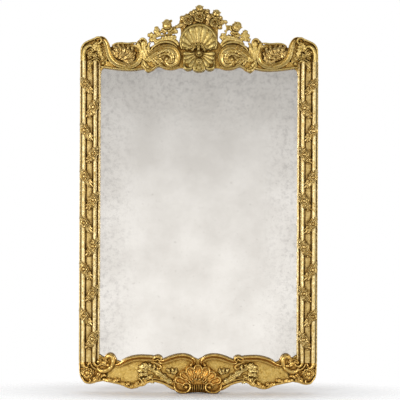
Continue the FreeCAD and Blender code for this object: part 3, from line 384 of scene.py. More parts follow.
hand_over(moulding, reed_gold, "reeded_moulding_right")
for side in ("left", "right"):
    mesh = bpy.data.objects[f"side_moulding_{side}"].data
    mesh.materials.append(matt_gold)
    for face in mesh.polygons:
        offset = abs(face.center.x) / MM - SIGHT_EDGE
        if CHANNEL[0] < offset < CHANNEL[1] and face.normal.y < -0.5:
            face.material_index = 1

# Garlands: sprays of small leaves round an open flower, carved and glued across the reeds, six from the
# outer edge and six from the sight edge on each side. Their gold is worn to the red clay.
REED_MIDDLES = (24, 74)
REED_HALF = 10
CHANNEL_FRONT = -71
REED_FRONT = -84
RELIEF = -60
LEAF_THICKNESS = 2.5
GARLAND_FALL = 58


def smooth_line(points, share):
    """Place on a smooth line through points, at a share of the way along it."""
    last = len(points) - 1
    spot = min(max(share, 0) * last, last - 1e-6)
    number = int(spot)
    t = spot - number
    before, here = points[max(number - 1, 0)], points[number]
    there, after = points[number + 1], points[min(number + 2, last)]
    return 0.5 * (2 * here + (there - before) * t + (2 * before - 5 * here + 4 * there - after) * t ** 2
                  + (3 * here - before - 3 * there + after) * t ** 3)


def thicken(sheet, thickness):
    """Give a thin sheet its thickness, away from the viewer, and smooth it."""
    solidify = sheet.modifiers.new("thickness", "SOLIDIFY")
    solidify.thickness = thickness * MM
    solidify.offset = -1
    apply_all(sheet)
    bpy.ops.object.shade_smooth()
    return sheet


def carved_leaf(spine, width, lobes=4, rise=7, ground=RELIEF, curl=0, fine=1.0, point=0.55):
    """Acanthus leaf on a spine of (x, z) or (x, z, lift) places in mm, with lobed edges, veins and a sunk
    rib; a larger point draws the tip out."""
    bpy.ops.mesh.primitive_grid_add(size=2, x_subdivisions=int(8 * lobes * fine),
                                    y_subdivisions=int(12 * fine))
    leaf = bpy.context.object
    places = [Vector((place[0], -(place[2] if len(place) > 2 else 0), place[1])) for place in spine]
    for corner in leaf.data.vertices:
        share, across = (corner.co.x + 1) / 2, corner.co.y
        ahead = smooth_line(places, share + 0.01) - smooth_line(places, share - 0.01)
        ahead.y = 0
        ahead.normalize()
        side = Vector((-ahead.z, 0, ahead.x))
        body = max(math.sin(math.pi * (0.16 + 0.84 * share)), 0.001) ** point
        wave = 0.5 - 0.5 * math.cos(2 * math.pi * lobes * share)
        half = 0.5 * width * body * (1 - 0.30 * abs(across) * (1 - wave))
        arch = 1 - 0.85 * across ** 2
        rib_groove = -0.30 * math.exp(-(across / 0.13) ** 2)
        vein = 0.24 * abs(across) * (wave - 0.5) * 2
        height = rise * (body ** 0.7) * (arch + rib_groove + vein) + curl * share ** 3
        lean = ahead * 0.20 * width * body * abs(across) ** 1.5
        corner.co = MM * (smooth_line(places, share) + side * across * half + lean
                          + Vector((0, ground - height, 0)))
    return thicken(leaf, LEAF_THICKNESS)


def open_flower(x, z, radius, front, petals=5, rings=2):
    """Open flower in rings of cupped petals round a domed heart, in mm, seen from the front."""
    parts = []
    for ring in range(rings):
        outer = radius * (1 - 0.30 * ring)
        inner = 0.22 * radius * (1 - 0.4 * ring)
        bpy.ops.mesh.primitive_grid_add(x_subdivisions=6, y_subdivisions=8, size=2)
        petal = bpy.context.object
        for corner in petal.data.vertices:
            share, across = (corner.co.x + 1) / 2, corner.co.y
            reach = inner + (outer - inner) * share * (1 - 0.16 * across ** 2)
            turn = 1.12 * math.pi / petals * across * (1 - 0.25 * share ** 6)
            cup = radius * (0.16 + 0.20 * ring + 0.30 * share ** 1.6 * (1 + 0.5 * ring) - 0.22 * share ** 5
                            + 0.10 * across ** 2 * share)
            corner.co = MM * Vector((reach * math.sin(turn), -cup, reach * math.cos(turn)))
        petal.data.flip_normals()
        thicken(petal, 0.10 * radius)
        for number in range(petals):
            turned = Matrix.Rotation(2 * math.pi * (number + 0.5 * ring) / petals + 0.3, 4, "Y")
            parts.append(copy_of(petal, f"petal_{ring}_{number}", turned))
        bpy.data.objects.remove(petal)
    bpy.ops.mesh.primitive_uv_sphere_add(segments=14, ring_count=8, radius=0.40 * radius * MM,
                                         location=(0, -0.38 * radius * MM, 0), scale=(1, 0.75, 1))
    bpy.ops.object.shade_smooth()
    parts.append(bpy.context.object)
    flower = join_pieces(parts, "flower")
    flower.data.transform(Matrix.Translation((x * MM, front * MM, z * MM)))
    return flower


def bead(x, z, radius, front, depth=1.0, tall=1.0):
    """Carved boss, in mm: a ball that may be flattened or drawn out upright."""
    bpy.ops.mesh.primitive_uv_sphere_add(segments=18, ring_count=10, radius=radius * MM)
    boss = bpy.context.object
    placed = Matrix.Translation((x * MM, front * MM, z * MM))
    boss.data.transform(placed @ Matrix.Diagonal((1, depth, tall, 1)))
    bpy.ops.object.shade_smooth()
    return boss


def moulding_front(offset):
    """Front of the side moulding, in mm, at an offset outwards from the sight edge."""
    reed = max([1 - ((offset - middle) / REED_HALF) ** 2 for middle in REED_MIDDLES] + [0])
    return CHANNEL_FRONT + (REED_FRONT - CHANNEL_FRONT) * reed


def garland(start, finish, flower_share, climb):
    """One garland round z = 0, from an offset to another, falling by climb on the way."""
    def on_moulding(share, aside=0, raised=0):
        offset = start + (finish - start) * share
        fall = climb * (0.5 - share)
        return (SIGHT_EDGE + offset, fall + aside, -moulding_front(offset) + raised)

    parts = []
    for root, tip, aside, lift in (
            (0.20, 0.50, 25, 3), (0.28, 0.76, 17, 5), (0.36, 0.98, 8, 4), (0.36, 1.00, -6, 3),
            (0.32, 0.84, -19, 5), (0.20, 0.54, -28, 3), (0.22, -0.04, 14, 3), (0.22, -0.02, -15, 3)):
        spine = [on_moulding(root, 0.3 * aside, 3), on_moulding((root + tip) / 2, 0.8 * aside, lift),
                 on_moulding(tip, aside, 1)]
        parts.append(carved_leaf(spine, 22, lobes=3, rise=8, ground=0, fine=0.9, point=1.0))
    x, z, front = on_moulding(flower_share)
    parts.append(open_flower(x, z, 21.5, -front - 4))
    for share, aside in ((flower_share + 0.36, 8), (flower_share + 0.42, -9), (flower_share + 0.30, -24)):
        x, z, front = on_moulding(share, aside)
        parts.append(bead(x, z, 5, -front - 7))
    return join_pieces(parts, "garland")


worn_gold = gilding("worn_gold", (0.84, 0.65, 0.29), (0.47, 0.315, 0.09), (0.18, 0.09, 0.025), 0.40)
for side, sign in (("right", 1), ("left", -1)):
    for edge, start, finish, flower_share in (("outer", 86, 28, 0.30), ("inner", 8, 65, 0.36)):
        node = f"garland_{side}_{edge}"
        pattern = garland(start, finish, flower_share, GARLAND_FALL)
        sprays = []
        for number, place in enumerate(sorted(islands(node), key=lambda place: -place[2])):
            stretch = 1 + 0.06 * math.sin(2.3 * number + start)
            moved = Matrix.Translation((0, 0, place[2])) @ Matrix.Diagonal((sign, 1, stretch, 1))
            spray = copy_of(pattern, "spray", moved)
            if sign < 0:
                spray.data.flip_normals()
            sprays.append(spray)
        bpy.data.objects.remove(pattern)
        hand_over(join_pieces(sprays, f"{edge}_garlands_{side}"), worn_gold, node)


# Basin scrolls: bold S-shaped bands of limewood, carved apart, gilded and glued along the cresting's edge.
# They roll out of the ears, dip into a bowl and curl up again beside the plume.
def smooth_curve(line, closed, steps):
    """Flat smooth curve through (x, z) or (x, z, size) places in mm."""
    if closed:
        bpy.ops.curve.primitive_bezier_circle_add()
    else:
        bpy.ops.curve.primitive_bezier_curve_add()
    curve = bpy.context.object
    curve.data.dimensions = "2D"
    curve.data.fill_mode = "BOTH" if closed else "NONE"
    curve.data.resolution_u = steps
    points = curve.data.splines[0].bezier_points
    points.add(len(line) - len(points))
    for point, (x, z, *size) in zip(points, line):
        point.co = (x * MM, z * MM, 0)
        point.radius = size[0] if size else 1
        point.handle_left_type = point.handle_right_type = "AUTO"
    return curve


def stand_up(curve, depth, sharp):
    """Mesh of a flat curve, stood upright at a depth in mm, with edges over a sharp angle left hard."""
    pick(curve)
    bpy.ops.object.convert(target="MESH")
    carving = bpy.context.object
    carving.data.transform(Matrix.Translation((0, depth * MM, 0)) @ Matrix.Rotation(math.pi / 2, 4, "X"))
    bpy.ops.object.mode_set(mode="EDIT")
    bpy.ops.mesh.select_all(action="SELECT")
    bpy.ops.mesh.remove_doubles(threshold=1e-6)
    bpy.ops.mesh.normals_make_consistent(inside=False)
    bpy.ops.object.mode_set(mode="OBJECT")
    bpy.ops.object.shade_smooth_by_angle(angle=math.radians(sharp))
    return carving


def carved_scroll(line, section):
    """Moulded band along a smooth line of (x, z, size) in mm, standing up from the carved boards."""
    band = smooth_curve(line, False, 8)
    profile_line = bpy.data.curves.new("section", "CURVE")
    profile_line.dimensions = "2D"
    spline = profile_line.splines.new("POLY")
    spline.points.add(len(section) - 1)
    for point, (across, height) in zip(spline.points, section):
        point.co = (across * MM, height * MM, 0, 1)
    spline.use_cyclic_u = True
    profile = bpy.data.objects.new("section", profile_line)
    bpy.context.scene.collection.objects.link(profile)
    band.data.bevel_mode = "OBJECT"
    band.data.bevel_object = profile
    band.data.use_fill_caps = True
    carving = stand_up(band, RELIEF, 50)
    bpy.data.objects.remove(profile)
    return carving


def rib(line, half, height):
    """Half-round rib on a short upright foot, along a smooth line."""
    round_top = [(-half * math.cos(turn), height * (0.35 + 0.65 * math.sin(turn)))
                 for turn in [math.pi * step / 10 for step in range(11)]]
    return carved_scroll(line, [(-half, -3)] + round_top + [(half, -3)])


def finish_pair(parts, name, node, material):
    """Join the parts of a right-hand piece, and finish it and its reflection on the left."""
    right = join_pieces(parts, f"{name}_right")
    hand_over(mirrored(right, f"{name}_left"), material, f"{node}_left")
    hand_over(right, material, f"{node}_right")


HOLLOW_BAND = [(-14, -3), (-14, 7), (-12.5, 10), (-10, 10.5), (-6, 8), (-1, 6.5), (4, 8.5), (7, 13.5),
               (9, 17.5), (11, 18.8), (13, 17), (14, 12), (14, -3)]
burnished_gold = gilding("burnished_gold", (0.82, 0.65, 0.28), (0.465, 0.316, 0.076), RED_CLAY, 0.2)
parts = [
    carved_scroll([(455, 66, 0.30), (461, 75, 0.42), (452, 84, 0.55), (435, 82, 0.7), (420, 62, 0.85),
                   (412, 34, 0.95), (402, 2), (382, -22, 1.05), (352, -36, 1.05), (318, -39, 1.05),
                   (290, -31), (273, -14, 0.92), (268, 9, 0.85), (274, 34, 0.7), (290, 49, 0.5),
                   (304, 44, 0.36)], HOLLOW_BAND),
    rib([(395, 52, 0.5), (378, 60, 0.9), (352, 63), (325, 61), (300, 64, 0.9), (284, 66, 0.5)], 5, 9),
    rib([(446, -44, 0.8), (423, -46), (378, -52), (333, -56), (290, -55), (262, -50, 0.9),
         (250, -44, 0.6)], 5, 10),
    bead(303, 40, 6, RELIEF - 8),
]
finish_pair(parts, "basin_scroll_carved", "basin_scroll", burnished_gold)


# Basin foliage: a fan of acanthus leaves and a flower that fill the bowl of each basin scroll, carved in
# limewood, glued on the board and gilded with leaf that is worn to the clay.
def bowed(root_x, root_z, tip_x, tip_z, bow, lift):
    """Spine from a root to a tip, bowed to one side and lifted in the middle."""
    return [(root_x, root_z), ((root_x + tip_x) / 2 - bow * (tip_z - root_z),
                               (root_z + tip_z) / 2 + bow * (tip_x - root_x), lift), (tip_x, tip_z)]


parts = [open_flower(346, 12, 12, RELIEF - 15), bead(322, 40, 6, RELIEF - 10), bead(392, 26, 6, RELIEF - 8),
         bead(306, 12, 5, RELIEF - 12)]
for number, tip in enumerate(((404, 32), (392, 54), (370, 62), (346, 62), (320, 60), (298, 48), (287, 26),
                              (287, -2), (306, -24))):
    spine = bowed(380 - 5 * number, -6 - 1.5 * number, *tip, 0.18, 3)
    parts.append(carved_leaf(spine, 31, 4, 10 + 5 * (number % 2), RELIEF - 2, point=0.75))
finish_pair(parts, "basin_foliage_carved", "basin_foliage", worn_gold)

# Plume leaves: broad leaves that stand between basin and volute, rolled at the top, with a curled tip
# hanging below. They are gilded limewood, glued on the board.
SOFT_POLISH = (0.62, 0.40)
olive_gold = gilding("olive_gold", (0.85, 0.67, 0.285), (0.515, 0.358, 0.089), (0.19, 0.09, 0.025), 0.3,
                     polish=SOFT_POLISH)
parts = [
    carved_leaf([(220, -20), (240, 10), (250, 42), (250, 76)], 44, 3, 10, curl=6),
    carved_leaf([(232, -20), (256, 8), (268, 40), (280, 68)], 28, 3, 9, curl=5),
    carved_leaf([(218, 2), (228, 28), (230, 52), (222, 68)], 20, 3, 8, curl=4),
    rib([(238, 50, 0.5), (240, 70, 0.8), (252, 82), (266, 77, 0.9), (266, 66, 0.6)], 6, 18),
    carved_leaf([(256, -12), (248, -36), (234, -52), (218, -58)], 34, 2, 10, curl=4),
    rib([(258, -24, 0.6), (250, -44, 0.9), (234, -58), (219, -57, 0.9), (218, -47, 0.6)], 6, 15),
    bead(232, -46, 8, RELIEF - 8),
]
finish_pair(parts, "plume_leaf_carved", "plume_leaf", olive_gold)


# Volute scrolls: the bold inner scrolls of burnished limewood, each with a stem that rises from the plume,
# turns over beside the shell and winds in to its eye, an outer rib along its back and acanthus in its curl.
def carved_block(outline, back, front, ease):
    """Block with a smooth outline of (x, z) in mm and an eased front edge."""
    block = smooth_curve(outline, True, 4)
    block.data.extrude = 0.5 * (back - front) * MM - ease * MM
    block.data.bevel_depth = ease * MM
    block.data.bevel_resolution = 3
    block.data.offset = -ease * MM
    return stand_up(block, 0.5 * (back + front), 40)


parts = [
    carved_scroll([(240, -14, 0.6), (215, 7, 0.8), (188, 25, 0.9), (166, 39, 0.98), (143, 44), (122, 39),
                   (106, 25, 0.98), (98, 8, 0.95), (98, -14, 0.88), (108, -33, 0.8), (126, -41, 0.7),
                   (144, -36, 0.6), (155, -22, 0.52), (155, -8, 0.45), (146, 0, 0.38), (138, -7, 0.3)],
                  HOLLOW_BAND),
    rib([(222, 26, 0.5), (208, 44, 0.8), (188, 59), (166, 67, 1.1), (140, 67, 1.1), (117, 59),
         (101, 46, 0.7)], 7, 15),
    carved_leaf([(232, 4), (206, 30), (178, 50), (146, 56), (118, 48)], 20, 7, 11),
    carved_block([(206, 2), (176, 18), (146, 26), (120, 16), (112, -8), (122, -26), (140, -26), (160, -30),
                  (184, -22)], RELIEF + 1, RELIEF - 4, 2),
    carved_leaf([(190, 14), (160, 30), (126, 20), (114, -8)], 24, 6, 9, RELIEF - 3),
    carved_leaf([(182, 4), (150, 16), (128, 4), (126, -22)], 20, 5, 9, RELIEF - 3),
    carved_leaf([(196, -4), (176, -8), (166, -20), (148, -34)], 18, 4, 8, RELIEF - 3),
    carved_leaf([(212, -2), (196, -18), (176, -32), (150, -44)], 18, 5, 8),
    carved_leaf([(218, -6), (204, -26), (190, -40)], 16, 3, 7),
    rib([(216, -56, 0.7), (200, -46), (184, -38), (164, -44), (130, -50), (92, -42, 0.8)], 5, 10),
    bead(147, -8, 8, RELIEF - 7),
]
finish_pair(parts, "volute_carved", "volute_scroll", burnished_gold)


# Crest shell: the great scallop at the middle of the cresting, carved in limewood, dished and fluted, with
# a thick rolled rim and a leafy collar at its hinge. Its gold is darker.
def rim_reach(turn, radius, lift):
    """Distance from a shell's hinge to its round rim, whose middle is lifted above the hinge."""
    return lift * math.cos(turn) + math.sqrt(radius ** 2 - (lift * math.sin(turn)) ** 2)


def fluted_shell(hinge, radius, lift, spread, flutes, back, dish, groove, scallop, start, upright=1):
    """Fan of flutes round a hinge, in mm, dished towards the rim. start is the share of the reach at which
    the flutes begin, and upright is -1 for a shell that hangs."""
    bpy.ops.mesh.primitive_grid_add(x_subdivisions=18, y_subdivisions=flutes * 10, size=2)
    shell = bpy.context.object
    for corner in shell.data.vertices:
        share, across = (corner.co.x + 1) / 2, corner.co.y
        wave = abs(math.sin(math.pi * flutes * (across + 1) / 2))
        turn = math.radians(spread) * across
        reach = rim_reach(turn, radius, lift) * (start + (1 - start) * share)
        reach *= 1 + scallop * share ** 3 * (wave - 0.6)
        height = dish * share ** 1.4 + groove * (0.3 + 0.7 * share) * wave ** 0.32 - 0.6 * dish * share ** 9
        corner.co = MM * Vector((hinge[0] + reach * math.sin(turn), back - height,
                                 hinge[1] + upright * reach * math.cos(turn)))
    if upright > 0:
        shell.data.flip_normals()
    return thicken(shell, SHELL_THICKNESS)


SHELL_THICKNESS = 4
SHELL_MIDDLE = -3.5
SHELL_HINGE = 24
SHELL_LIFT = 41
SHELL_RADIUS = 77
RIM_RADIUS = 80
parts = [
    fluted_shell((SHELL_MIDDLE, SHELL_HINGE), SHELL_RADIUS, SHELL_LIFT, 74, 9, RELIEF - 8, 14, 7, 0.02, 0.24),
    rib([(SHELL_MIDDLE + RIM_RADIUS * math.sin(math.radians(turn)),
          SHELL_HINGE + SHELL_LIFT + RIM_RADIUS * math.cos(math.radians(turn)), 1 - abs(turn) / 400)
         for turn in range(-110, 111, 20)], 9.5, 24),
    carved_leaf([(SHELL_MIDDLE, 66), (SHELL_MIDDLE, 48), (SHELL_MIDDLE, 26)], 26, 3, 19, RELIEF - 8),
]
for way in (1, -1):
    for spine, *cut in (([(8, 62), (18, 48), (32, 26)], 24, 3, 17, RELIEF - 7),
                        ([(16, 58), (34, 46), (56, 38)], 24, 3, 15, RELIEF - 6),
                        ([(30, 42), (56, 42), (86, 54)], 26, 4, 13, RELIEF - 4)):
        parts.append(carved_leaf([(way * x + SHELL_MIDDLE, z) for x, z in spine], *cut))
shell_gold = gilding("shell_gold", (0.62, 0.49, 0.20), (0.40, 0.285, 0.075), (0.17, 0.085, 0.022), 0.3,
                     polish=SOFT_POLISH)
hand_over(join_pieces(parts, "crest_shell_carved"), shell_gold, "crest_shell")

# Pendant palmette: a fan of gilded limewood that hangs from a hooped knob under the shell, over the sight
# edge of the glass, with a flower on it, and ends in three lobes with thick rolled edges.
parts = [
    carved_block([(-1, 26), (-40, 24), (-70, 12), (-73, -10), (-66, -46), (-50, -54), (-30, -50),
                  (-1, -60), (28, -50), (48, -54), (64, -46), (71, -10), (68, 12), (38, 24)],
                 CARCASS_FRONT, RELIEF - 7, 3),
    fluted_shell((-1, 18), 69, 7, 97, 11, RELIEF - 6, 10, 7, 0.10, 0.22, upright=-1),
    rib([(-13, 26, 0.7), (-12, 13), (-1, 5, 1.1), (10, 13), (11, 26, 0.7)], 4.5, 26),
    bead(-1, 18, 12, RELIEF - 13, 0.9), bead(-1, -20, 19, RELIEF - 8, 0.62),
    open_flower(-1, -20, 14, RELIEF - 13, petals=6),
    rib([(-27, -44, 0.7), (-21, -54), (-1, -59, 1.1), (19, -54), (25, -44, 0.7)], 7, 20),
]
for way in (1, -1):
    parts.append(rib([(way * 68 - 1, -30, 0.7), (way * 65 - 1, -45, 1), (way * 51 - 1, -53, 1.1),
                      (way * 36 - 1, -49, 1), (way * 30 - 1, -38, 0.7)], 7, 19))
hand_over(join_pieces(parts, "crest_pendant_carved"), shell_gold, "crest_pendant")

# Roses: three open roses on top of the shell, each carved in limewood in rings of cupped petals, glued on
# the board and burnished.
FLOWER_FRONT = -64
for node, x, z, radius in (("crest_rose_centre", 1, 181, 26), ("crest_rose_left", -51, 167, 23.5),
                           ("crest_rose_right", 69, 155, 22)):
    rose = open_flower(x, z, radius, FLOWER_FRONT - 7, rings=3)
    rose.name = f"{node}_carved"
    hand_over(rose, burnished_gold, node)


# Buds and leaves of the bouquet: closed buds above the roses, and pointed leaves that show all round them,
# carved in limewood, gilded and glued on the board.
def bud(x, z, width, tall, turn=0.0):
    """Rose bud: a ball wrapped in two petals, whose edges roll across it, on a small leafy cup."""
    parts = [bead(0, 0, width * 0.5, 0, 0.75, tall / width)]
    for low, way in ((0.14, 1), (-0.20, -1)):
        edge = [(aside * way * width, (low + up) * tall, size) for aside, up, size in (
            (-0.50, 0.12, 0.6), (-0.20, -0.06, 1), (0.18, -0.08, 1), (0.49, 0.18, 0.6))]
        roll = rib(edge, 0.10 * width, 0.46 * width)
        roll.data.transform(Matrix.Translation((0, -RELIEF * MM, 0)))
        parts.append(roll)
    for lean in (-1, 1):
        spine = [(0, -0.5 * tall), (lean * width * 0.32, -0.42 * tall), (lean * width * 0.56, -0.20 * tall)]
        parts.append(carved_leaf(spine, width * 0.30, 2, width * 0.16, ground=-width * 0.20, fine=0.8))
    whole = join_pieces(parts, "bud")
    placed = Matrix.Translation((x * MM, FLOWER_FRONT * MM, z * MM))
    whole.data.transform(placed @ Matrix.Rotation(turn, 4, "Y"))
    return whole


buds = [bud(0, 219, 36, 36), bud(76, 197, 36, 40, 0.35), bud(-24, 206, 20, 24, -0.3),
        bud(34, 205, 20, 24, 0.3)]
hand_over(join_pieces(buds, "crest_buds_carved"), burnished_gold, "crest_buds")
parts = []
for turn in range(-30, 211, 24):
    lean = Vector((math.cos(math.radians(turn)), 0, math.sin(math.radians(turn))))
    root, tip = Vector((4, 0, 164)) + 22 * lean, Vector((6, 0, 164)) + (64 - 10 * abs(lean.x)) * lean
    parts.append(carved_leaf(bowed(root.x, root.z, tip.x, tip.z, 0, 3), 30, 2, 6, point=0.9))
for *ends, width in (
        (-14, 180, -42, 210, 26), (16, 184, 48, 214, 24), (-40, 166, -88, 186, 28), (-50, 156, -98, 148, 26),
        (70, 162, 106, 180, 26), (74, 150, 112, 154, 26), (88, 154, 128, 158, 22), (-30, 166, -62, 198, 24),
        (30, 170, 42, 144, 24), (-22, 172, -32, 146, 24), (-80, 152, -112, 136, 20), (46, 172, 62, 194, 24),
        (-4, 164, 10, 142, 24), (84, 148, 96, 126, 22), (-64, 150, -76, 128, 20)):
    parts.append(carved_leaf(bowed(*ends, 0.12, 4), width + 4, 2, 8, FLOWER_FRONT + 6, point=0.9))
hand_over(join_pieces(parts, "crest_leaves_carved"), worn_gold, "crest_leaves")


# Rose sprays: a blossom on a leafy stem of gilded limewood at each side of the shell, standing free above
# the volutes. The two differ: the left one stands upright, the right one leans out.
def stem(*line):
    """Thin round stem."""
    return rib(line, 4, 8)


def spray_leaf(width, *spine, lobes=3, point=0.8):
    """Small leaf of a spray."""
    return carved_leaf(spine, width, lobes, 8, FLOWER_FRONT + 4, point=point)


parts = [
    bud(-146, 144, 43, 56, -0.08), bead(-128, 164, 6, FLOWER_FRONT),
    stem((-100, 112, 0.9), (-122, 108), (-150, 102), (-182, 96), (-206, 86, 0.8)),
    stem((-146, 140, 0.8), (-144, 120), (-136, 106)),
    stem((-118, 134, 0.8), (-102, 140, 0.9), (-88, 144, 0.7)),
    spray_leaf(26, (-146, 120), (-162, 116), (-174, 124), lobes=2, point=0.55),
    spray_leaf(26, (-144, 118), (-128, 116), (-116, 126), lobes=2, point=0.55),
    spray_leaf(32, (-192, 90), (-214, 98), (-235, 100)), spray_leaf(34, (-178, 94), (-190, 116), (-195, 140)),
    spray_leaf(30, (-176, 96), (-188, 110), (-206, 118)), spray_leaf(28, (-198, 88), (-214, 80), (-228, 76)),
    spray_leaf(28, (-98, 108), (-112, 122), (-118, 140)), spray_leaf(30, (-206, 86), (-196, 72), (-176, 68)),
    carved_leaf([(-102, 90), (-132, 89), (-162, 82), (-198, 62)], 34, 7, 10, FLOWER_FRONT + 2),
    rib([(-93, 56, 0.7), (-106, 71, 0.9), (-124, 80), (-150, 82), (-178, 74, 0.9), (-202, 56, 0.6)], 10, 11),
]
hand_over(join_pieces(parts, "rose_spray_carved_left"), olive_gold, "rose_spray_left")
parts = [
    bud(166, 137, 43, 56, 0.75), bead(140, 130, 7, FLOWER_FRONT),
    stem((112, 118, 0.9), (130, 126), (150, 132, 0.9)),
    stem((118, 150, 0.7), (124, 136, 0.9), (120, 112), (116, 96), (122, 80, 0.8)),
    stem((166, 118, 0.8), (180, 104), (196, 90), (208, 74, 0.8)),
    spray_leaf(26, (150, 122), (152, 108), (166, 102), lobes=2, point=0.55),
    spray_leaf(26, (146, 126), (134, 136), (122, 134), lobes=2, point=0.55),
    spray_leaf(32, (190, 92), (204, 108), (213, 124)), spray_leaf(28, (198, 86), (212, 96), (228, 100)),
    spray_leaf(26, (204, 78), (216, 82), (230, 78), point=0.55),
    spray_leaf(30, (114, 110), (105, 94), (110, 76)),
    spray_leaf(28, (182, 104), (168, 96), (154, 100)), spray_leaf(30, (198, 92), (186, 78), (166, 74)),
    carved_leaf([(110, 90), (136, 89), (164, 82), (198, 62)], 34, 7, 10, FLOWER_FRONT + 2),
    rib([(98, 54, 0.7), (108, 70, 0.8), (124, 80), (150, 82), (178, 74, 0.9), (202, 56, 0.6)], 10, 11),
]
hand_over(join_pieces(parts, "rose_spray_carved_right"), olive_gold, "rose_spray_right")

# Apron edge scrolls: double-beaded arches of gilded limewood, glued along the top of the apron, beside the
# glass, two on each half, the outer one ending in a small curl above the inner one.
DOUBLE_BEAD = [(13, -3), (12, 7), (10.5, 11), (8, 14), (5, 14), (2.5, 11), (0.5, 9), (-1.5, 10),
               (-3.5, 15), (-6, 18), (-9, 18), (-12, 15), (-13, 11), (-13, -3)]
SHINY_POLISH = (0.55, 0.20)
amber_gold = gilding("amber_gold", (0.92, 0.66, 0.24), (0.58, 0.36, 0.08), (0.22, 0.095, 0.02), 0.3,
                     polish=SHINY_POLISH)
parts = [
    carved_scroll([(372, -1392, 0.5), (354, -1388, 0.8), (326, -1373), (299, -1363), (268, -1358),
                   (236, -1358), (212, -1359, 0.95), (194, -1361, 0.85), (180, -1356, 0.6)], DOUBLE_BEAD),
    rib([(212, -1372, 0.6), (190, -1380, 0.9), (172, -1390), (168, -1401, 0.9), (178, -1406, 0.7),
         (187, -1400, 0.5)], 6, 13),
    rib([(208, -1366, 0.6), (194, -1354, 0.9), (177, -1352), (166, -1361, 0.9), (171, -1370, 0.7),
         (180, -1365, 0.5)], 7, 18),
]
finish_pair(parts, "apron_arch_outer", "apron_scroll_outer", amber_gold)
parts = [
    carved_scroll([(176, -1370, 0.6), (164, -1374, 0.85), (144, -1369, 0.95), (123, -1361), (87, -1352),
                   (51, -1353), (30, -1361, 0.9), (19, -1374, 0.75), (25, -1388, 0.55)], DOUBLE_BEAD),
    bead(30, -1388, 7, RELIEF - 8),
]
finish_pair(parts, "apron_arch_inner", "apron_scroll_inner", amber_gold)

# Apron shell: a lobed cockle of gilded limewood at the foot of the mirror, each lobe hollowed like a spoon,
# on two small volutes with upright ribs between them. Its hollows get a redder copy of the gilding: painted
# shade.
COCKLE_FOOT = Vector((0, -1492))
COCKLE_DEPTH = 17
COCKLE_HALF = 98
COCKLE_LOW = -1478
LOBE_EDGE = ((-0.9, -0.8, 0.6), (0, -1, 1), (0.72, -0.72, 1), (1, 0, 1), (0.72, 0.72, 1), (0, 1, 1),
             (-0.9, 0.8, 0.6))
parts = [carved_block([(0, -1388), (36, -1398), (70, -1422), (98, -1444), (114, -1468), (106, -1494),
                       (76, -1511), (0, -1512), (-76, -1511), (-106, -1494), (-114, -1468), (-98, -1444),
                       (-70, -1422), (-36, -1398)], CARCASS_FRONT, RELIEF - 4, 4)]
for x in (-26, -15.6, -5.2, 5.2, 15.6, 26):
    parts.append(rib([(x, -1474, 0.7), (0.95 * x, -1490, 1), (0.85 * x, -1509, 0.7)], 4.5, 25))
for x, z, size in ((0, -1405, 17), (35, -1415, 17), (-35, -1415, 17), (63, -1433, 16), (-63, -1433, 16),
                   (86, -1455, 15), (-86, -1455, 15)):
    middle = Vector((x, z))
    out = (middle - COCKLE_FOOT).normalized()
    across = Vector((-out.y, out.x))
    parts.append(carved_leaf([tuple(middle.lerp(COCKLE_FOOT, 0.62)), tuple(middle.lerp(COCKLE_FOOT, 0.25)),
                              tuple(middle + size * out)], 2.1 * size, 2, -13, RELIEF - 20))
    parts.append(rib([(*(middle + size * (forth * out + aside * across)), thick)
                      for forth, aside, thick in LOBE_EDGE], 5.5, 24))
    parts.append(bead(*(middle + 0.9 * size * across - 0.3 * size * out), 5, RELIEF - 22))
for way in (1, -1):
    parts.append(rib([(way * x, *rest) for x, *rest in (
        (104, -1466, 0.5), (104, -1488, 0.8), (88, -1506), (62, -1511), (40, -1500), (35, -1482, 0.9),
        (48, -1469, 0.8), (64, -1474, 0.7), (67, -1488, 0.6), (56, -1494, 0.5))], 7, 25))
    parts.append(bead(way * 53, -1486, 8, RELIEF - 20))
    parts.append(carved_leaf([(way * 96, -1484), (way * 112, -1470), (way * 122, -1452)], 20, 3, 10))
cockle = join_pieces(parts, "apron_shell_carved")
hand_over(cockle, amber_gold, "apron_shell")
# Painted shade: the faces in the spoon hollows get a redder, more saturated copy of the amber gilding.
hollow_shade_amber = gilding("hollow_shade_amber", (1.0, 0.70, 0.23), (0.84, 0.51, 0.125), (0.30, 0.13, 0.026), 0.2,
                     polish=SHINY_POLISH)
cockle.data.materials.append(hollow_shade_amber)
for face in cockle.data.polygons:
    x, y, z = face.center / MM
    if y > RELIEF - COCKLE_DEPTH and z > COCKLE_LOW and abs(x) < COCKLE_HALF:
        face.material_index = 1

# Apron sprays: a long frond laid on the punched panel beside the shell, with a cluster of leaves at its
# head, carved in limewood, glued on and burnished.
parts = [
    carved_leaf([(114, -1468), (146, -1452), (182, -1424), (232, -1400)], 42, 4, 16, point=0.8),
    carved_leaf([(132, -1452), (160, -1436), (190, -1404)], 24, 3, 19, point=0.9),
    carved_leaf([(206, -1416), (196, -1398), (200, -1386)], 20, 3, 9),
    rib([(272, -1448, 0.6), (262, -1450, 0.9), (253, -1460), (244, -1472), (232, -1474, 0.7)], 5, 12),
    stem((218, -1466, 0.6), (226, -1446, 0.8), (230, -1424, 0.8), (228, -1408, 0.6)),
]
for *ends, width in (
        (222, -1402, 254, -1384, 22), (226, -1408, 272, -1398, 24), (228, -1418, 276, -1420, 24),
        (220, -1404, 222, -1378, 18), (228, -1432, 272, -1444, 22), (226, -1444, 204, -1432, 18),
        (222, -1452, 256, -1466, 20), (218, -1462, 196, -1456, 18), (112, -1432, 98, -1400, 16),
        (118, -1430, 120, -1398, 15), (128, -1428, 144, -1404, 16)):
    parts.append(carved_leaf(bowed(*ends, 0.15, 3), width + 5, 3, 10, point=0.9))
finish_pair(parts, "apron_spray_carved", "apron_spray", burnished_gold)

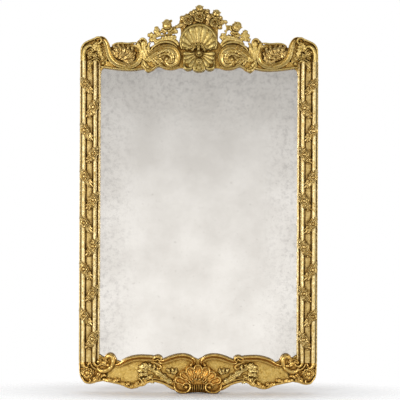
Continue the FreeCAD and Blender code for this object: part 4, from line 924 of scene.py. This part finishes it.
# Apron rims: a rib of gilded limewood, glued along the scalloped lower edge, with overlapping leaves on its
# outer part and doubled beside the shell.
RIM_LINE = [(424, -1458), (381, -1467), (342, -1476), (314, -1488), (295, -1491), (270, -1482), (243, -1477),
            (230, -1467), (205, -1461), (168, -1467), (132, -1481), (108, -1494)]
RIM_LEAVES = 8
parts = [rib(RIM_LINE, 6, 11),
         rib([(238, -1456, 0.6), (205, -1449), (168, -1455), (136, -1467), (112, -1478, 0.8)], 4, 10)]
rim_places = [Vector((x, 0, z)) for x, z in RIM_LINE]
for number in range(RIM_LEAVES):
    share = 0.62 * number / RIM_LEAVES
    root, tip = smooth_line(rim_places, share), smooth_line(rim_places, share + 0.085)
    up = 18 if number % 2 else 8
    parts.append(carved_leaf([(root.x, root.z), ((root.x + tip.x) / 2, (root.z + tip.z) / 2 + 0.7 * up, 5),
                              (tip.x, tip.z + up, 2)], 22, 3, 11))
finish_pair(parts, "apron_rim_carved", "apron_rim", amber_gold)

# Top corners, or ears: carved blocks, gilded and glued on over the ends of the mouldings, with the outer
# reed hooked over, leaves, small curls and a cluster of flowers, and more leaves hanging into the channel.
parts = [
    carved_block([(500, -20), (531, -20), (536, -16), (537, 8), (536, 34), (532, 47), (522, 64),
                  (505, 74), (482, 83), (461, 92), (443, 90), (425, 81), (414, 69), (406, 55), (402, 42),
                  (404, 20), (414, -12), (428, -40), (440, -46), (446, -38), (447, -24), (452, -20),
                  (470, -20)], CARCASS_FRONT, RELIEF, 4),
    carved_block([(450, -40), (450, -60), (447, -78), (443, -62), (432, -51), (414, -47), (430, -42)],
                 CARCASS_FRONT, RELIEF + 3, 2),
    rib([(520, -20), (521, 8), (518, 28), (508, 44, 0.95), (494, 50, 0.8), (482, 45, 0.6), (480, 35, 0.45),
         (487, 31, 0.35)], 10, 22),
    rib([(532, -20, 0.8), (532, 20, 0.9), (529, 42), (517, 60), (500, 70), (482, 78), (470, 84, 0.8)],
        5, 16),
    rib([(474, 74, 0.5), (468, 84, 0.8), (455, 87), (443, 80), (444, 67, 0.9), (456, 60, 0.7),
         (465, 66, 0.5)], 6, 21),
    rib([(500, 30, 0.6), (490, 36, 0.9), (481, 28), (487, 19, 0.8)], 4, 14),
    rib([(462, 22, 0.6), (470, 14, 0.9), (480, 16, 0.9), (480, 26, 0.7)], 4, 15),
    rib([(507, -22, 0.6), (491, -18, 0.9), (474, -9), (459, -6), (447, -12, 0.8)], 4, 17),
    rib([(474, -30, 0.8), (474, -22), (465, -16, 0.9), (455, -19, 0.7), (455, -27, 0.5)], 7, 22),
    open_flower(490, 14, 14, RELIEF - 8), open_flower(470, 4, 11, RELIEF - 8),
    open_flower(436, -6, 10, RELIEF - 6),
    bead(434, -28, 8, RELIEF - 6), bead(480, 26, 6, RELIEF - 10), bead(500, 0, 6, RELIEF - 8),
]
parts += [carved_leaf(*leaf) for leaf in (
    ([(456, 72), (456, 50), (450, 24), (440, -4)], 38, 5, 14), ([(462, 64), (472, 48),
    (470, 24)], 30, 4, 12), ([(494, 30), (506, 24), (510, 8)], 16, 3, 9), ([(484, 0), (496, -6),
    (508, -2)], 16, 3, 9), ([(458, 12), (450, 0), (436, 6)], 16, 3, 10), ([(474, 22), (484, 32),
    (498, 34)], 15, 3, 9), ([(494, -22), (494, -48), (488, -76)], 24, 4, 9, CHANNEL_FRONT),
    ([(478, -26), (490, -38), (502, -54)], 18, 3, 11, CHANNEL_FRONT),
    ([(500, -30), (490, -50), (496, -70)], 14, 3, 12, CHANNEL_FRONT))]
finish_pair(parts, "corner_ear", "corner_top", olive_gold)

# Bottom corners: blocks of the same kind, rounded below, where the inner reed winds into a volute, with a
# rosette in the corner, an oval leaf and a thick loop towards the apron.
parts = [
    carved_block([(500, -1375), (532, -1375), (537, -1379), (537, -1400), (536, -1422), (530, -1445),
                  (516, -1465), (498, -1476), (475, -1475), (453, -1468), (432, -1464), (412, -1452),
                  (388, -1400), (368, -1384), (370, -1362), (382, -1346), (396, -1341), (411, -1345),
                  (420, -1355), (434, -1350), (446, -1344), (447, -1368), (454, -1375), (474, -1375)],
                 CARCASS_FRONT, RELIEF, 4),
    carved_block([(386, -1394), (384, -1362), (398, -1352), (414, -1358), (436, -1374), (452, -1394),
                  (444, -1410), (418, -1414)], RELIEF + 1, RELIEF - 4, 2),
    rib([(519, -1372), (519, -1384), (513, -1396, 0.9), (503, -1399, 0.7), (498, -1392, 0.5)], 10, 22),
    rib([(470, -1370, 0.9), (468, -1382, 0.85), (459, -1391, 0.75), (446, -1390, 0.65), (437, -1380, 0.6),
         (440, -1368, 0.5), (450, -1366, 0.4)], 10, 22),
    rib([(484, -1376, 0.6), (480, -1390, 0.9), (470, -1402), (454, -1409, 0.8)], 5, 17),
    rib([(532, -1374, 0.8), (532, -1418, 0.9), (526, -1444), (513, -1461)], 4, 13),
    rib([(522, -1444, 0.6), (515, -1458, 0.9), (500, -1468), (486, -1463, 0.9), (487, -1452, 0.7)], 6, 17),
    rib([(418, -1366, 0.6), (411, -1353, 0.9), (397, -1348), (386, -1355, 1.05), (383, -1374),
         (389, -1394, 0.8)], 11, 21),
    rib([(455, -1394, 0.5), (448, -1409, 0.9), (431, -1416, 1.1), (411, -1412, 1.1), (394, -1400),
         (384, -1384, 0.7)], 10, 20),
    rib([(366, -1390, 0.6), (384, -1388, 0.9), (398, -1398, 0.9), (412, -1412, 0.9), (430, -1420, 0.7)],
        5, 13),
    open_flower(499, -1424, 27, RELIEF - 7), bead(497, -1423, 11, RELIEF - 21),
    bead(424, -1379, 13, RELIEF - 6, 0.8, 0.9), bead(405, -1390, 10, RELIEF - 7, 0.9, 0.9),
    bead(440, -1388, 8, RELIEF - 6), bead(449, -1374, 8, RELIEF - 14), bead(424, -1454, 7, RELIEF - 6),
]
parts += [carved_leaf(*leaf) for leaf in (
    ([(444, -1376), (424, -1384), (398, -1394)], 26, 3, 17),
    ([(428, -1360), (416, -1368), (406, -1380)], 20, 3, 14),
    ([(474, -1464), (456, -1443), (442, -1422)], 30, 2, 13),
    ([(466, -1452), (456, -1441), (448, -1430)], 14, 1, 20),
    ([(488, -1404), (476, -1416), (468, -1432)], 20, 3, 10),
    ([(510, -1398), (522, -1408), (526, -1424)], 18, 3, 9),
    ([(440, -1446), (428, -1436), (412, -1440)], 20, 4, 10),
    ([(488, -1376), (494, -1388), (490, -1402)], 18, 3, 10))]
finish_pair(parts, "corner_foot", "corner_bottom", amber_gold)

# Studio: a pale floor under the mirror, which fades out in an oval, a white sweep behind it and a room in
# front that darkens upwards, which the old plate reflects. Three broad soft lights light the gilding.
FLOOR_GAP = 0.001
bpy.ops.mesh.primitive_plane_add(size=1, location=(0, 0, cad_box[0][2] - FLOOR_GAP))
floor = bpy.context.object
floor.name = "studio_floor"
floor.scale = (5, 5, 1)
bpy.ops.object.transform_apply(location=True, rotation=True, scale=True)
floor_paint, tree, shader = new_material("floor_paint")
where = add_node(tree, "TexCoord", "Object")
mottle = noise(tree, where, 3, 2)
feed(tree, shader, {"Base Color": ramp(tree, mottle, (0, (0.93, 0.93, 0.94)), (1, (0.97, 0.97, 0.97))),
                    "Roughness": 0.8})
oval = add_node(tree, "Mapping", "Vector", {"Vector": where, "Scale": (0.35, 1, 0)})
reach = add_node(tree, "VectorMath", "Value", {0: oval}, operation="LENGTH")
fade = add_node(tree, "MapRange", "Result", {"Value": reach, "From Min": 0.10, "From Max": 0.42},
                interpolation_type="SMOOTHSTEP")
clear = add_node(tree, "BsdfTransparent", "BSDF")
paint_edge = add_node(tree, "MixShader", "Shader", {"Fac": fade, 1: shader.outputs["BSDF"], 2: clear})
feed(tree, tree.nodes["Material Output"], {"Surface": paint_edge})
floor.data.materials.append(floor_paint)

room = bpy.data.worlds.new("studio_room")
bpy.context.scene.world = room
room.use_nodes = True
tree = room.node_tree
direction = add_node(tree, "TexCoord", "Generated")
upward = add_node(tree, "SeparateXYZ", "Z", {"Vector": direction})
height = spread(tree, upward, -0.5, 0.5)
front = ramp(tree, height, (0.0, (0.22, 0.21, 0.20)), (1.0, (0.13, 0.13, 0.14)),
             *[(level, (tone, 0.97 * tone, 0.93 * tone)) for level, tone in (
                 (0.25, 0.60), (0.38, 0.97), (0.495, 0.88), (0.575, 0.60), (0.61, 0.45), (0.72, 0.20))])
backward = add_node(tree, "SeparateXYZ", "Y", {"Vector": direction})
behind = spread(tree, backward, -0.2, 0.3)
sweep = blend(tree, behind, front, (1, 1, 1, 1))
feed(tree, tree.nodes["Background"], {"Color": sweep})

for name, place, aim, width, tall, power in (
        ("key_softbox", (-2.3, -3.1, -0.5), (0, 0, -0.8), 1.1, 2.4, 97),
        ("fill_softbox", (2.6, -3.2, -0.7), (0, 0, -0.8), 1.0, 2.2, 58),
        ("top_softbox", (0.3, -1.3, 2.2), (0, 0, -0.2), 1.2, 1.2, 6)):
    lamp = bpy.data.lights.new(name, "AREA")
    lamp.shape = "RECTANGLE"
    lamp.size = width
    lamp.size_y = tall
    lamp.energy = power
    softbox = bpy.data.objects.new(name, lamp)
    bpy.context.scene.collection.objects.link(softbox)
    softbox.location = place
    softbox.rotation_euler = (Vector(aim) - Vector(place)).to_track_quat("-Z", "Y").to_euler()

# Camera: square in front of the mirror, far back, with the slight turn that the photograph has.
CAMERA_DISTANCE = 6.0
CAMERA_TURN = -0.25
VIEW_MIDDLE = (0.006, -0.06, -0.6435)
VIEW_WIDTH = 1.806
SENSOR_WIDTH = 36
camera_data = bpy.data.cameras.new("photo_camera")
camera = bpy.data.objects.new("photo_camera", camera_data)
bpy.context.scene.collection.objects.link(camera)
camera_data.sensor_width = SENSOR_WIDTH
camera_data.lens = SENSOR_WIDTH * CAMERA_DISTANCE / VIEW_WIDTH
camera.location = (VIEW_MIDDLE[0], VIEW_MIDDLE[1] - CAMERA_DISTANCE, VIEW_MIDDLE[2])
camera.rotation_euler = (math.pi / 2, math.radians(CAMERA_TURN), 0)
bpy.context.scene.camera = camera
bpy.context.scene.view_settings.view_transform = "Standard"
